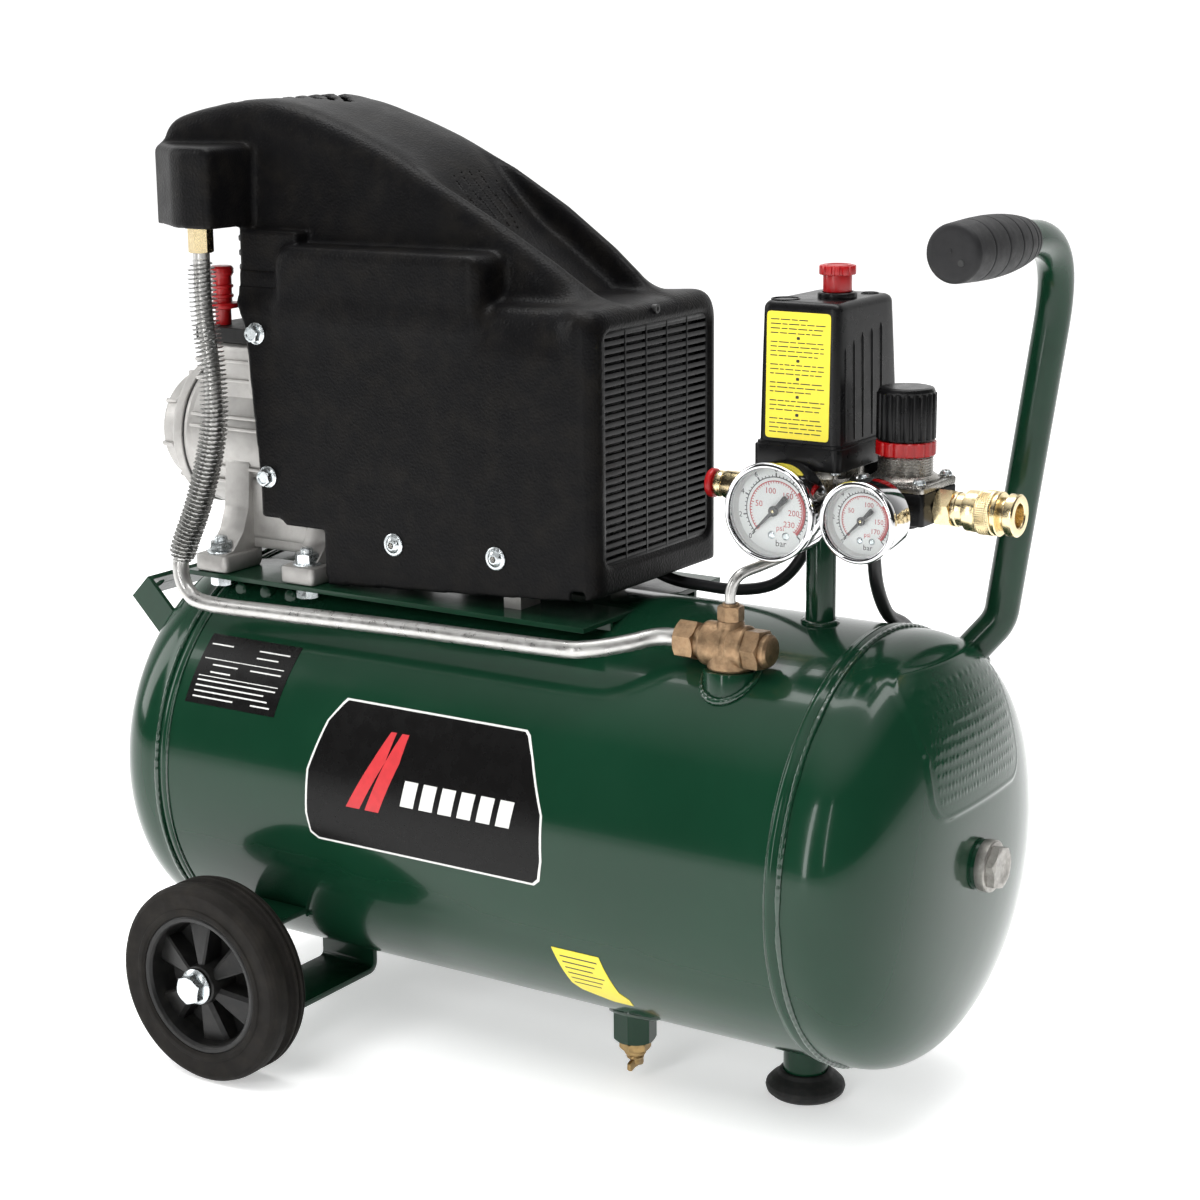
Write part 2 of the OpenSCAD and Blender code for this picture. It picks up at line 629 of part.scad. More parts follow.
module shroud_screws() {
    color(zinc) {
        both_sides() {
            for (p = [[-178, 436], [-173, 349]]) {
                along_y(p[0], shroud_half - 12, p[1]) cylinder(r = 2.5, h = 12);
                along_y(p[0], shroud_half, p[1]) cylinder(r = 8, h = 1.6);
                along_y(p[0], shroud_half + 1.6, p[1]) cylinder(r = 5.8, h = 4.4, $fn = 6);
            }
            for (x = [-78, -4]) {
                along_y(x, shroud_half - 12, 317) cylinder(r = 2.5, h = 12);
                along_y(x, shroud_half, 317) cylinder(r = 8.5, h = 1.2);
                along_y(x, shroud_half + 1.2, 317) cylinder(r = 5, h = 2.8);
            }
        }
    }
}

/* Air lines --------------------------------------------------------------------------------- */
module delivery_elbow() {
    color(brass) difference() {
        union() {
            along_y(head_exit.x, head_exit.y, cyl_top + 14) cylinder(r = 6.5, h = -36 - head_exit.y);
            translate([head_exit.x, head_exit.y, 484]) cylinder(r = 7.5, h = 38, $fn = 6);
        }
        translate([head_exit.x, head_exit.y, 480]) cylinder(r = 5.4, h = 16);
    }
}
module delivery_tube() {
    p = spline(tube_route, 4);
    color(cast_grey) sweep(p, [for (i = [0:len(p) - 1])
        i >= finned_rings[0] && i <= finned_rings[1] ? tube_fin_r : tube_bare_r], 12, [1, 0, 0]);
}
module check_valve() {
    color([0.50, 0.36, 0.20]) difference() {
        union() {
            along_x(118, check_at.y, check_z) cylinder(r = 11.5, h = 14, $fn = 6);
            along_x(132, check_at.y, check_z) cylinder(r = 9, h = 4);
            along_x(134, check_at.y, check_z) cylinder(r = 12.5, h = 28);
            along_x(162, check_at.y, check_z) cylinder(r = 11.5, h = 14, $fn = 6);
            difference() {
                translate([check_at.x, check_at.y, bung_top]) cylinder(r = 12.5, h = check_z - bung_top);
                tank_solid();
            }
            translate([check_at.x, check_at.y, 262]) cylinder(r = 9, h = bung_top + 1 - 262);
            translate([check_at.x, check_at.y, check_z]) cylinder(r = 7, h = 16);
            translate([check_at.x, check_at.y, 301]) cylinder(r = 6.9, h = 8, $fn = 6);
        }
        along_x(117, check_at.y, check_z) cylinder(r = 5.5, h = 10);
        along_x(130, check_at.y, check_z) cylinder(r = 7, h = 34);
        translate([check_at.x, check_at.y, 255]) cylinder(r = 5, h = 30);
        translate([check_at.x, check_at.y, 303]) cylinder(r = 3.4, h = 8);
    }
}
module unloader_tube() {
    color(cast_grey) tube(spline(unloader_route, 3), unloader_r, 10, [1, 0, 0]);
}

/* Switch group ------------------------------------------------------------------------------- */
module manifold_block() {
    color(zinc) difference() {
        union() {
            block([riser_x - 13, -14, port_z - 16], [riser_x + 14, 14, port_z + 12]);
            translate([riser_x, 3, port_z + 12]) cylinder(r = 22, h = 7);
            along_x(riser_x + 14, 0, port_z) cylinder(r = 7.5, h = reg_x0 - riser_x - 14);
        }
        translate([161, -9, port_z - 17]) cylinder(r = 3.4, h = 4);
        translate([riser_x, 0, port_z - 17]) cylinder(r = 5.5, h = 20);
    }
}
module switch_base() {
    color(black) {
        block([switch_x0 - 2, switch_y0 - 2, 379], [switch_x1 + 2, switch_y1 + 2, switch_z]);
        translate([152, 25, 366]) difference() {
            cylinder(r = 6.2, h = 13);
            translate([0, 0, -1]) cylinder(r = lead_r + 0.4, h = 5);
        }
    }
}
module cord_gland() {
    color(black) translate([gland_at.x, gland_at.y, 0]) {
        translate([0, 0, 371]) cylinder(r = 6.8, h = 8);
        translate([0, 0, 345]) cylinder(r1 = cord_r + 1, r2 = 6.4, h = 26);
    }
}
module switch_cover() {
    w = switch_x1 - switch_x0;
    d = switch_y1 - switch_y0;
    color(black) translate([(switch_x0 + switch_x1) / 2, (switch_y0 + switch_y1) / 2, 0]) difference() {
        translate([0, 0, switch_z]) linear_extrude(switch_top - switch_z) polygon(rounded(w, d, 5));
        translate([0, 0, switch_z - 1]) linear_extrude(switch_top - switch_z - 1.5)
            polygon(rounded(w - 5, d - 5, 3));
        translate([knob_x - (switch_x0 + switch_x1) / 2, -(switch_y0 + switch_y1) / 2, switch_top - 10])
            cylinder(r = 6.3, h = 20);
    }
}
module switch_knob() {
    color(red) translate([knob_x, 0, 0]) {
        translate([0, 0, switch_top - 20]) cylinder(r = 6, h = 30);
        translate([0, 0, switch_top + 8.2]) cylinder(r = 7.5, h = 2);
        for (a = [0:45:315]) rotate(a) translate([6.5, -2, switch_top + 9]) cube([3.6, 4, 9]);
        translate([0, 0, switch_top + 10]) cylinder(r = 8.5, h = 8);
    }
}
module relief_valve() {
    color(brass) difference() {
        along_x(103, 0, port_z) cylinder(r = 8, h = riser_x - 13 - 103);
        along_x(102, 0, port_z) cylinder(r = 2.06, h = 30);
    }
}
module relief_pull() {
    color(red) {
        along_x(104, 0, port_z) cylinder(r = 2, h = 20);
        along_x(98, 0, port_z) cylinder(r = 8.4, h = 4);
        along_x(100, 0, port_z) cylinder(r = 2, h = 6);
    }
}
module gauge_case(r, x, back) {
    color(zinc) along_y(x, gauge_face, port_z) {
        difference() {
            union() {
                cylinder(r = r, h = 26, $fn = 72);
                cylinder(r = r + 1.3, h = 4, $fn = 72);
                translate([0, 0, 26]) cylinder(r = 8.1, h = 9, $fn = 6);
                translate([0, 0, 35]) cylinder(r = 6, h = back - gauge_face - 35);
            }
            translate([0, 0, -1]) cylinder(r = r - 1.6, h = 11, $fn = 72);
        }
        translate([0, 0, 4]) cylinder(r = 1, h = 6.1);
    }
}
module tank_gauge() { gauge_case(gauge_r, riser_x, -14); }
module outlet_gauge() { gauge_case(small_gauge_r, outlet_x, -reg_half); }
module gauge_lenses() {
    color([0.85, 0.92, 0.95, 0.35]) {
        along_y(riser_x, gauge_face + 0.4, port_z) cylinder(r = gauge_r - 1.65, h = 1.6, $fn = 72);
        along_y(outlet_x, gauge_face + 0.4, port_z) cylinder(r = small_gauge_r - 1.65, h = 1.6, $fn = 72);
    }
}
module needle(x, r) {
    color(black) along_y(x, gauge_face + 5.2, port_z) difference() {
        union() {
            cylinder(r = r * 0.11, h = 2);
            rotate(45) {
                translate([0, -0.7, 0.5]) cube([r * 0.62, 1.4, 1]);
                translate([-r * 0.42, -1.3, 0.5]) cube([r * 0.42, 2.6, 1]);
            }
        }
        translate([0, 0, -1]) cylinder(r = 1 + fit, h = 5);
    }
}
module tank_needle() { needle(riser_x, gauge_r); }
module outlet_needle() { needle(outlet_x, small_gauge_r); }
module regulator_body() {
    mid = (reg_x0 + reg_x1) / 2;
    color(black) {
        block([reg_x0, -reg_half, reg_low], [reg_x1, reg_half, reg_top]);
        translate([mid, 0, reg_low - 5]) cylinder(r = 8, h = 5);
    }
}
module regulator_bonnet() {
    mid = (reg_x0 + reg_x1) / 2;
    color(zinc) {
        block([reg_x0, -reg_half, reg_top], [reg_x1, reg_half, reg_top + 6]);
        translate([mid, 0, reg_top + 6]) cylinder(r = 15, h = ring_z - reg_top - 6);
        translate([mid, 0, ring_z]) cylinder(r = 12, h = 8.5);
        translate([mid, 0, ring_z + 8]) cylinder(r = 5, h = 10);
        for (x = [-16, 16], y = [-16, 16]) translate([mid + x, y, reg_top + 6]) cylinder(r = 3.2, h = 3);
    }
}
module lock_ring() {
    mid = (reg_x0 + reg_x1) / 2;
    color(red) translate([mid, 0, ring_z + 0.3]) difference() {
        cylinder(r = 16.5, h = 8);
        translate([0, 0, -1]) cylinder(r = 12 + fit, h = 12);
        for (a = [0:22.5:350]) rotate(a) translate([17.6, 0, -1]) cylinder(r = 1.9, h = 12);
    }
}
module regulator_knob() {
    mid = (reg_x0 + reg_x1) / 2;
    color(black) translate([mid, 0, ring_z + 9]) difference() {
        union() {
            cylinder(r = 15.6, h = 28.5);
            for (a = [0:20:340]) rotate(a) translate([14.6, -1.2, 0]) cube([1.9, 2.4, 28]);
        }
        translate([0, 0, -1]) cylinder(r = 5 + fit, h = 11);
    }
}
module coupler_body() {
    color(brass) difference() {
        union() {
            along_x(reg_x1, 0, port_z) cylinder(r = 11, h = 10, $fn = 6);
            along_x(reg_x1 + 10, 0, port_z) cylinder(r = 11, h = 2.5);
            along_x(reg_x1 + 12, 0, port_z) cylinder(r = 9, h = 32);
            along_x(coupler_end - 6, 0, port_z) cylinder(r = 11.6, h = 6);
        }
        along_x(coupler_end - 21, 0, port_z) cylinder(r = 6.5, h = 22);
        along_x(reg_x1 + 4, 0, port_z) cylinder(r = 4, h = 40);
    }
}
module coupler_sleeve() {
    color(brass) along_x(coupler_end - 30, 0, port_z) difference() {
        union() {
            cylinder(r = 12.2, h = 19, $fn = 64);
            for (a = [0:18:342]) rotate(a) translate([11.6, -0.8, 4]) cube([1, 1.6, 13]);
        }
        translate([0, 0, -1]) cylinder(r = 9 + fit, h = 22);
    }
}

/* Leads ------------------------------------------------------------------------------------- */
module motor_lead() { color(black) tube(spline(lead_route, 3), lead_r, 8, [1, 0, 0]); }
module mains_cord() { color(black) tube(spline(cord_route, 3), cord_r, 8, [1, 0, 0]); }
module cord_coil() {
    color(black) translate([coil_at.x, coil_at.y, 0.2]) rotate_extrude($fn = 64)
        translate([coil_r, coil_h / 2]) polygon(rounded(coil_w, coil_h, 3));
}
module mains_plug() {
    color(black) translate(plug_at) rotate([0, -90, 0]) {
        rotate_extrude() polygon([[0, 0], [4.5, 0], [6.5, 24], [11, 28], [17, 38], [17, 56], [15, 58],
            [0, 58]]);
        for (y = [-9.5, 9.5]) translate([0, y, 58]) cylinder(r = 2.4, h = 19);
    }
}

tank_shell();
front_head();
rear_head();
wheel_brackets();
axle_bolts();
rubber_foot();
rear_strap();
pump_platform();
handle_tube();
handle_grip();
riser_pipe();
tank_plug();
drain_valve();
drain_screw();
crankcase();
crankcase_cover();
cylinder_barrel();
cylinder_head();
pump_bearings();
breather_plug();
motor_body();
run_capacitor();
pump_bolts();
shroud();
shroud_screws();
delivery_elbow();
delivery_tube();
check_valve();
unloader_tube();
manifold_block();
switch_base();
switch_cover();
switch_knob();
relief_valve();
relief_pull();
tank_gauge();
outlet_gauge();
gauge_lenses();
tank_needle();
outlet_needle();
regulator_body();
regulator_bonnet();
regulator_knob();
lock_ring();
coupler_body();
coupler_sleeve();
motor_lead();
cord_gland();
mains_cord();
cord_coil();
mains_plug();
left_wheel();
left_tyre();
right_wheel();
right_tyre();
crankshaft();
motor_rotor();
cooling_fan();
connecting_rod();
piston();
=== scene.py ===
import math

import bmesh
import bpy
import numpy as np
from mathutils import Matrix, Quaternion, Vector


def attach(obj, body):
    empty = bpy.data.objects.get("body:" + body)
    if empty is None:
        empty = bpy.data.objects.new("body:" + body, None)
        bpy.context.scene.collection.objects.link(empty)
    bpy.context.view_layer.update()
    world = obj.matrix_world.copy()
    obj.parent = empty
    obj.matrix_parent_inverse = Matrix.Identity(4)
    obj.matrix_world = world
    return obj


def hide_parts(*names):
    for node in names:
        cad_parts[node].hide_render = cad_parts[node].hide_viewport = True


# Lengths here are millimetres, in the same frame as the CAD; Piece.make() turns them into metres.
MM = 0.001
X, Y, Z = (1, 0, 0), (0, 1, 0), (0, 0, 1)
TANK_R, TANK_Z = 125, 162                 # the tank's radius and the height of its axis
PIPE_Z = 360                              # the height of the manifold, gauges and coupler
REGULATOR = (221, 0, 0)
SHAFT = (0, 0, 362)                       # a point on the pump's and motor's axis
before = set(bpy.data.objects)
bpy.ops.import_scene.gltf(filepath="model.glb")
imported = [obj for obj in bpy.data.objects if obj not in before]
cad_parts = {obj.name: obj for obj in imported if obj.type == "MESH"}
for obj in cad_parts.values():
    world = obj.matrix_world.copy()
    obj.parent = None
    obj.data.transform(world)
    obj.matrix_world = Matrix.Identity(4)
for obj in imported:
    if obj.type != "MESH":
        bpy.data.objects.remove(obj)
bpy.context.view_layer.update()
scene = bpy.context.scene
link = scene.collection.objects.link


# Camera --------------------------------------------------------------------------------------
def make_camera():
    """The view of the photograph."""
    data = bpy.data.cameras.new("camera")
    data.lens, data.sensor_width = 74.6, 36
    cam = bpy.data.objects.new("camera", data)
    link(cam)
    az, el, roll = math.radians(33.29), math.radians(13.38), math.radians(-0.54)
    back = Vector((math.sin(az) * math.cos(el), -math.cos(az) * math.cos(el), math.sin(el)))
    cam.location = (0.8125, -1.2046, 0.6242)
    cam.rotation_mode = "QUATERNION"
    cam.rotation_quaternion = (-back).to_track_quat("-Z", "Y") @ Quaternion((0, 0, 1), roll)
    scene.camera = cam


make_camera()


# Materials -----------------------------------------------------------------------------------
def shade(colour, k):
    """A colour, k times as bright."""
    return (colour[0] * k, colour[1] * k, colour[2] * k, 1)


def surface(name, colour, rough=0.5, metal=0.0, vary=0.12, patch=30, spread=0.06, grain=900, bump=0.1,
            depth=0.0003, kind="noise", coat=0.0, coat_rough=0.08, specular=0.5, dust=None, dust_share=0.5):
    """A finish with mottled colour, varied roughness and a grain, and dust on top."""
    m = bpy.data.materials.new(name)
    m.use_nodes = True
    tree = m.node_tree
    new, join = tree.nodes.new, tree.links.new
    b = tree.nodes["Principled BSDF"]
    b.inputs["Metallic"].default_value = metal
    b.inputs["Coat Weight"].default_value = coat
    b.inputs["Coat Roughness"].default_value = coat_rough
    b.inputs["Specular IOR Level"].default_value = specular
    where = new("ShaderNodeTexCoord").outputs["Object"]

    def noise(scale, detail=4.0, roughness=0.55):
        """Noise in the object's own space."""
        n = new("ShaderNodeTexNoise")
        n.inputs["Scale"].default_value = scale
        n.inputs["Detail"].default_value = detail
        n.inputs["Roughness"].default_value = roughness
        join(where, n.inputs["Vector"])
        return n.outputs["Fac"]

    def ramp(source, stops):
        """A colour for each value of the source."""
        r = new("ShaderNodeValToRGB")
        join(source, r.inputs["Fac"])
        while len(r.color_ramp.elements) < len(stops):
            r.color_ramp.elements.new(0.5)
        for e, (at, c) in zip(r.color_ramp.elements, stops):
            e.position, e.color = at, c
        return r.outputs["Color"]

    def blend(share, low, high):
        """The colour low, and where share is white the colour high."""
        mix = new("ShaderNodeMix")
        mix.data_type = "RGBA"
        join(share, mix.inputs[0])
        join(low, mix.inputs[6])
        mix.inputs[7].default_value = high
        return mix.outputs[2]

    tint = ramp(noise(patch), [(0.3, shade(colour, 1 - vary)), (0.7, shade(colour, 1 + vary))])
    if dust:
        share = ramp(noise(patch * 2.3, 6, 0.65), [(0.45, (0, 0, 0, 1)), (0.8, (dust_share,) * 3 + (1,))])
        tint = blend(share, tint, dust + (1,))
    join(tint, b.inputs["Base Color"])
    spread_map = new("ShaderNodeMapRange")
    join(noise(patch * 3.1), spread_map.inputs["Value"])
    spread_map.inputs["From Min"].default_value, spread_map.inputs["From Max"].default_value = 0.3, 0.7
    spread_map.inputs["To Min"].default_value = max(rough - spread, 0.02)
    spread_map.inputs["To Max"].default_value = rough + spread
    join(spread_map.outputs["Result"], b.inputs["Roughness"])
    if kind == "leather":
        cells = new("ShaderNodeTexVoronoi")
        cells.feature = "SMOOTH_F1"
        cells.inputs["Scale"].default_value = grain
        join(where, cells.inputs["Vector"])
        height = cells.outputs["Distance"]
    else:
        height = noise(grain, 3)
    lift = new("ShaderNodeBump")
    lift.inputs["Strength"].default_value = bump
    lift.inputs["Distance"].default_value = depth
    join(height, lift.inputs["Height"])
    join(lift.outputs["Normal"], b.inputs["Normal"])
    return m


paint = surface("green_paint", (0.0045, 0.029, 0.014), 0.17, vary=0.10, patch=9, spread=0.04, grain=170,
                bump=0.05, depth=0.0006, coat=0.22, coat_rough=0.04, specular=0.2,
                dust=(0.012, 0.045, 0.026), dust_share=0.1)
weld_paint = surface("weld_paint", (0.0045, 0.029, 0.014), 0.2, vary=0.15, patch=120, spread=0.06, grain=420,
                     bump=0.25, depth=0.0006, coat=0.6, coat_rough=0.08)
frame_paint = surface("frame_paint", (0.0045, 0.028, 0.0135), 0.22, vary=0.12, patch=40, spread=0.05,
                      grain=500, bump=0.08, depth=0.0004, coat=0.2, coat_rough=0.08, specular=0.2)
grained = surface("shroud_plastic", (0.0032, 0.0031, 0.0034), 0.40, vary=0.12, patch=25, spread=0.04,
                  grain=760, bump=0.75, depth=0.0003, kind="leather", specular=0.08,
                  dust=(0.02, 0.017, 0.013), dust_share=0.3)
moulded = surface("moulded_plastic", (0.0042, 0.0042, 0.0045), 0.30, vary=0.12, patch=60, spread=0.05,
                  grain=1400, bump=0.12, depth=0.0001, specular=0.2)
hub_plastic = surface("hub_plastic", (0.006, 0.006, 0.006), 0.38, specular=0.3, vary=0.15,
                      patch=80, spread=0.07, grain=1100, bump=0.15, depth=0.00015,
                      dust=(0.05, 0.048, 0.042), dust_share=0.25)
rubber = surface("rubber", (0.012, 0.012, 0.012), 0.62, vary=0.15, patch=90, spread=0.08, grain=1500,
                 bump=0.2, depth=0.00015, specular=0.35, dust=(0.06, 0.055, 0.048), dust_share=0.25)
tread = surface("tyre_rubber", (0.0105, 0.0095, 0.0085), 0.66, vary=0.2, patch=45, spread=0.08, grain=1300,
                bump=0.25, depth=0.0002, specular=0.1, dust=(0.03, 0.026, 0.021), dust_share=0.4)
foam = surface("grip_rubber", (0.008, 0.008, 0.0088), 0.6, vary=0.12, patch=70, spread=0.07, grain=2200,
               bump=0.3, depth=0.00018, specular=0.35)
cast = surface("cast_alloy", (0.40, 0.39, 0.375), 0.46, metal=0.75, vary=0.10, patch=60, spread=0.08,
               grain=1300, bump=0.35, depth=0.00025, dust=(0.22, 0.21, 0.19), dust_share=0.3)
cast_dark = surface("cast_black", (0.008, 0.008, 0.008), 0.55, metal=0.1, specular=0.25, vary=0.15, patch=60,
                    spread=0.08, grain=1200, bump=0.4, depth=0.0003)
alloy_tube = surface("tube_alloy", (0.50, 0.495, 0.48), 0.34, metal=0.9, vary=0.10, patch=70, spread=0.1,
                     grain=1500, bump=0.12, depth=0.0001, dust=(0.25, 0.23, 0.2), dust_share=0.3)
fin_alloy = surface("fin_alloy", (0.40, 0.40, 0.39), 0.32, metal=0.95, vary=0.25, patch=300, spread=0.12,
                    grain=1800, bump=0.2, depth=0.0001)
zinc = surface("zinc_plate", (0.60, 0.64, 0.66), 0.27, metal=0.95, vary=0.10, patch=150, spread=0.09,
               grain=1600, bump=0.1, depth=0.00008, dust=(0.45, 0.5, 0.42), dust_share=0.3)
dull_zinc = surface("galvanised", (0.30, 0.29, 0.27), 0.45, metal=0.85, vary=0.25, patch=220, spread=0.12,
                    grain=1400, bump=0.3, depth=0.0002)
brass = surface("brass", (0.78, 0.64, 0.38), 0.24, metal=1.0, vary=0.08, patch=110, spread=0.07, grain=1500,
                bump=0.08, depth=0.00008)
dull_brass = surface("dull_brass", (0.40, 0.27, 0.12), 0.4, metal=0.95, vary=0.2, patch=140, spread=0.1,
                     grain=1200, bump=0.3, depth=0.0002, dust=(0.2, 0.13, 0.07), dust_share=0.5)
bronze = surface("rough_bronze", (0.27, 0.175, 0.10), 0.42, metal=0.9, vary=0.3, patch=160, spread=0.12,
                 grain=1100, bump=0.5, depth=0.0004, dust=(0.42, 0.3, 0.18), dust_share=0.6)
nickel = surface("nickel_casting", (0.34, 0.325, 0.30), 0.28, metal=0.95, vary=0.2, patch=150, spread=0.1,
                 grain=1200, bump=0.35, depth=0.0003)
chrome = surface("chrome", (0.62, 0.62, 0.63), 0.09, metal=1.0, vary=0.05, patch=60, spread=0.03, grain=900,
                 bump=0.03, depth=0.0001)
steel = surface("steel", (0.42, 0.42, 0.43), 0.33, metal=1.0, vary=0.12, patch=90, spread=0.08, grain=1500,
                bump=0.12, depth=0.0001)
red = surface("red_plastic", (0.33, 0.006, 0.008), 0.33, vary=0.12, patch=90, spread=0.06, grain=1400,
              bump=0.12, depth=0.0001)
red_shiny = surface("red_ring_plastic", (0.30, 0.003, 0.004), 0.24, vary=0.1, patch=90, spread=0.04,
                    grain=1400, bump=0.06, depth=0.0001)
dial = surface("dial_white", (0.80, 0.80, 0.79), 0.45, vary=0.03, patch=60, spread=0.04, grain=1500,
               bump=0.03, depth=0.00005)
# Black print on dials and labels; the same black also makes the painted-shade sheet behind the shroud's
# grille.
ink_and_painted_shade = surface("black_ink_and_painted_shade", (0.012, 0.012, 0.012), 0.45, vary=0.1, patch=200, spread=0.04, grain=1500,
              bump=0.05, depth=0.00005)
red_ink = surface("red_ink", (0.48, 0.02, 0.025), 0.45, vary=0.1, patch=200, spread=0.04, grain=1500,
                  bump=0.05, depth=0.00005)
pale_ink = surface("pale_ink", (0.62, 0.62, 0.60), 0.4, vary=0.06, patch=200, spread=0.04, grain=1500,
                   bump=0.05, depth=0.00005)
sticker = surface("black_sticker", (0.0042, 0.004, 0.004), 0.27, specular=0.15, vary=0.08, patch=40,
                  spread=0.04, grain=600, bump=0.06, depth=0.0002)
yellow = surface("yellow_sticker", (0.72, 0.60, 0.035), 0.36, vary=0.05, patch=50, spread=0.05, grain=700,
                 bump=0.06, depth=0.0002)
cable = surface("cable_rubber", (0.010, 0.010, 0.011), 0.36, vary=0.1, patch=120, spread=0.06, grain=1600,
                bump=0.1, depth=0.00008)
plaster = surface("floor", (0.92, 0.92, 0.92), 0.7, vary=0.01, patch=3, spread=0.03, grain=60, bump=0.02,
                  depth=0.0003, specular=0.05)
plaster.node_tree.nodes["Principled BSDF"].inputs["Emission Color"].default_value = (1, 1, 1, 1)
plaster.node_tree.nodes["Principled BSDF"].inputs["Emission Strength"].default_value = 0.42


def make_glass():
    """Thin clear glass that reflects more at a glancing angle."""
    m = bpy.data.materials.new("gauge_glass")
    m.use_nodes = True
    tree = m.node_tree
    tree.nodes.remove(tree.nodes["Principled BSDF"])
    clear, gloss = tree.nodes.new("ShaderNodeBsdfTransparent"), tree.nodes.new("ShaderNodeBsdfGlossy")
    clear.inputs["Color"].default_value = (0.96, 0.97, 0.97, 1)
    gloss.inputs["Roughness"].default_value = 0.03
    share, smudge, wide = (tree.nodes.new(k) for k in
                           ("ShaderNodeFresnel", "ShaderNodeTexNoise", "ShaderNodeMapRange"))
    smudge.inputs["Scale"].default_value = 60
    wide.inputs["To Min"].default_value, wide.inputs["To Max"].default_value = 1.42, 1.5
    mix = tree.nodes.new("ShaderNodeMixShader")
    for a, b in ((smudge.outputs["Fac"], wide.inputs["Value"]), (wide.outputs["Result"], share.inputs["IOR"]),
                 (share.outputs["Fac"], mix.inputs["Fac"]), (clear.outputs[0], mix.inputs[1]),
                 (gloss.outputs[0], mix.inputs[2]),
                 (mix.outputs[0], tree.nodes["Material Output"].inputs["Surface"])):
        tree.links.new(a, b)
    return m


glass = make_glass()


# Geometry ------------------------------------------------------------------------------------
class Piece:
    """Surfaces in millimetres, gathered into one object."""

    def __init__(self, name):
        """An empty piece; finish holds each face's place in the list of materials."""
        self.name, self.points, self.faces, self.finish, self.mats, self.n = name, [], [], [], [], 0

    def add(self, made, mat):
        """Takes points and faces in, in one material."""
        v, f = made
        if mat not in self.mats:
            self.mats.append(mat)
        self.points.append(np.asarray(v, float))
        self.faces += [tuple(i + self.n for i in q) for q in f]
        self.finish += [self.mats.index(mat)] * len(f)
        self.n += len(v)
        return self

    def make(self, body, stands_for=(), slot=None, sharp=38):
        """Turns the piece into an object in metres, parents it to its body's empty and hides the CAD nodes it
        stands for.
        """
        mesh = bpy.data.meshes.new(self.name)
        mesh.from_pydata((np.vstack(self.points) * MM).tolist(), [], self.faces)
        for m in self.mats:
            mesh.materials.append(m)
        mesh.polygons.foreach_set("material_index", self.finish)
        bm = bmesh.new()
        bm.from_mesh(mesh)
        bmesh.ops.remove_doubles(bm, verts=bm.verts, dist=1e-7)
        bmesh.ops.recalc_face_normals(bm, faces=bm.faces)
        bm.to_mesh(mesh)
        bm.free()
        mesh.polygons.foreach_set("use_smooth", [True] * len(mesh.polygons))
        mesh.set_sharp_from_angle(angle=math.radians(sharp))
        obj = bpy.data.objects.new(self.name, mesh)
        link(obj)
        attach(obj, body)
        if stands_for:
            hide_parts(*stands_for)
        return obj


def unit(v):
    """The vector at length 1."""
    v = np.asarray(v, float)
    return v / np.linalg.norm(v)


def basis(axis, up=None):
    """Two directions across the axis, then the axis itself."""
    a = unit(axis)
    if up is None:
        up = {2: X, 0: Y, 1: Z}[int(np.argmax(np.abs(a)))]
    u = unit(np.asarray(up, float) - a * (a @ np.asarray(up, float)))
    return u, np.cross(a, u), a


def skin(rings, closed=False, caps=True):
    """Joins equal rings of points with quads; closed joins the last to the first."""
    n, m = len(rings[0]), len(rings)
    f = []
    for i in range(m if closed else m - 1):
        a, b = i * n, (i + 1) % m * n
        f += [(a + j, a + (j + 1) % n, b + (j + 1) % n, b + j) for j in range(n)]
    if caps and not closed:
        f += [tuple(range(n - 1, -1, -1)), tuple((m - 1) * n + j for j in range(n))]
    return np.vstack(rings), f


def fillet(pts, r, n=3, closed=False):
    """Rounds the corners of a line of points; r is one radius, or one for each point."""
    pts = [np.array(p, float) for p in pts]
    out = []
    for i, p in enumerate(pts):
        ri = r[i] if hasattr(r, "__len__") else r
        a, b = pts[i - 1] - p, pts[(i + 1) % len(pts)] - p
        la, lb = np.linalg.norm(a), np.linalg.norm(b)
        if (not closed and i in (0, len(pts) - 1)) or ri <= 0 or min(la, lb) < 1e-9:
            out.append(p)
            continue
        a, b = a / la, b / lb
        half = math.acos(max(-1.0, min(1.0, float(a @ b)))) / 2
        t = min(ri / math.tan(half), 0.48 * la, 0.48 * lb) if half < 1.54 else 0
        if t <= 0:
            out.append(p)
            continue
        out += [p + a * t * (1 - k / n) ** 2 + b * t * (k / n) ** 2 for k in range(n + 1)]
    return np.array(out)


def turned(profile, at=(0, 0, 0), axis=Z, n=56, soft=0.5, steps=2, ring=False):
    """A lathe shape: profile is (radius, height along the axis); ring closes it into a hoop."""
    p = fillet(profile, soft, steps, ring) if soft else np.array(profile, float)
    u, v, a = basis(axis)
    t = np.linspace(0, 2 * math.pi, n, endpoint=False)
    round_ = np.outer(np.cos(t), u) + np.outer(np.sin(t), v)
    return skin([np.asarray(at, float) + h * a + r * round_ for r, h in p], ring, not ring)


def inset(o, d):
    """An outline moved inwards by d."""
    e = np.roll(o, -1, 0) - o
    e = e / np.maximum(np.linalg.norm(e, axis=1), 1e-9)[:, None]
    nrm = np.c_[-e[:, 1], e[:, 0]]
    before = np.roll(nrm, 1, 0)
    return o + d * (before + nrm) / np.maximum(1 + (before * nrm).sum(1), 0.35)[:, None]


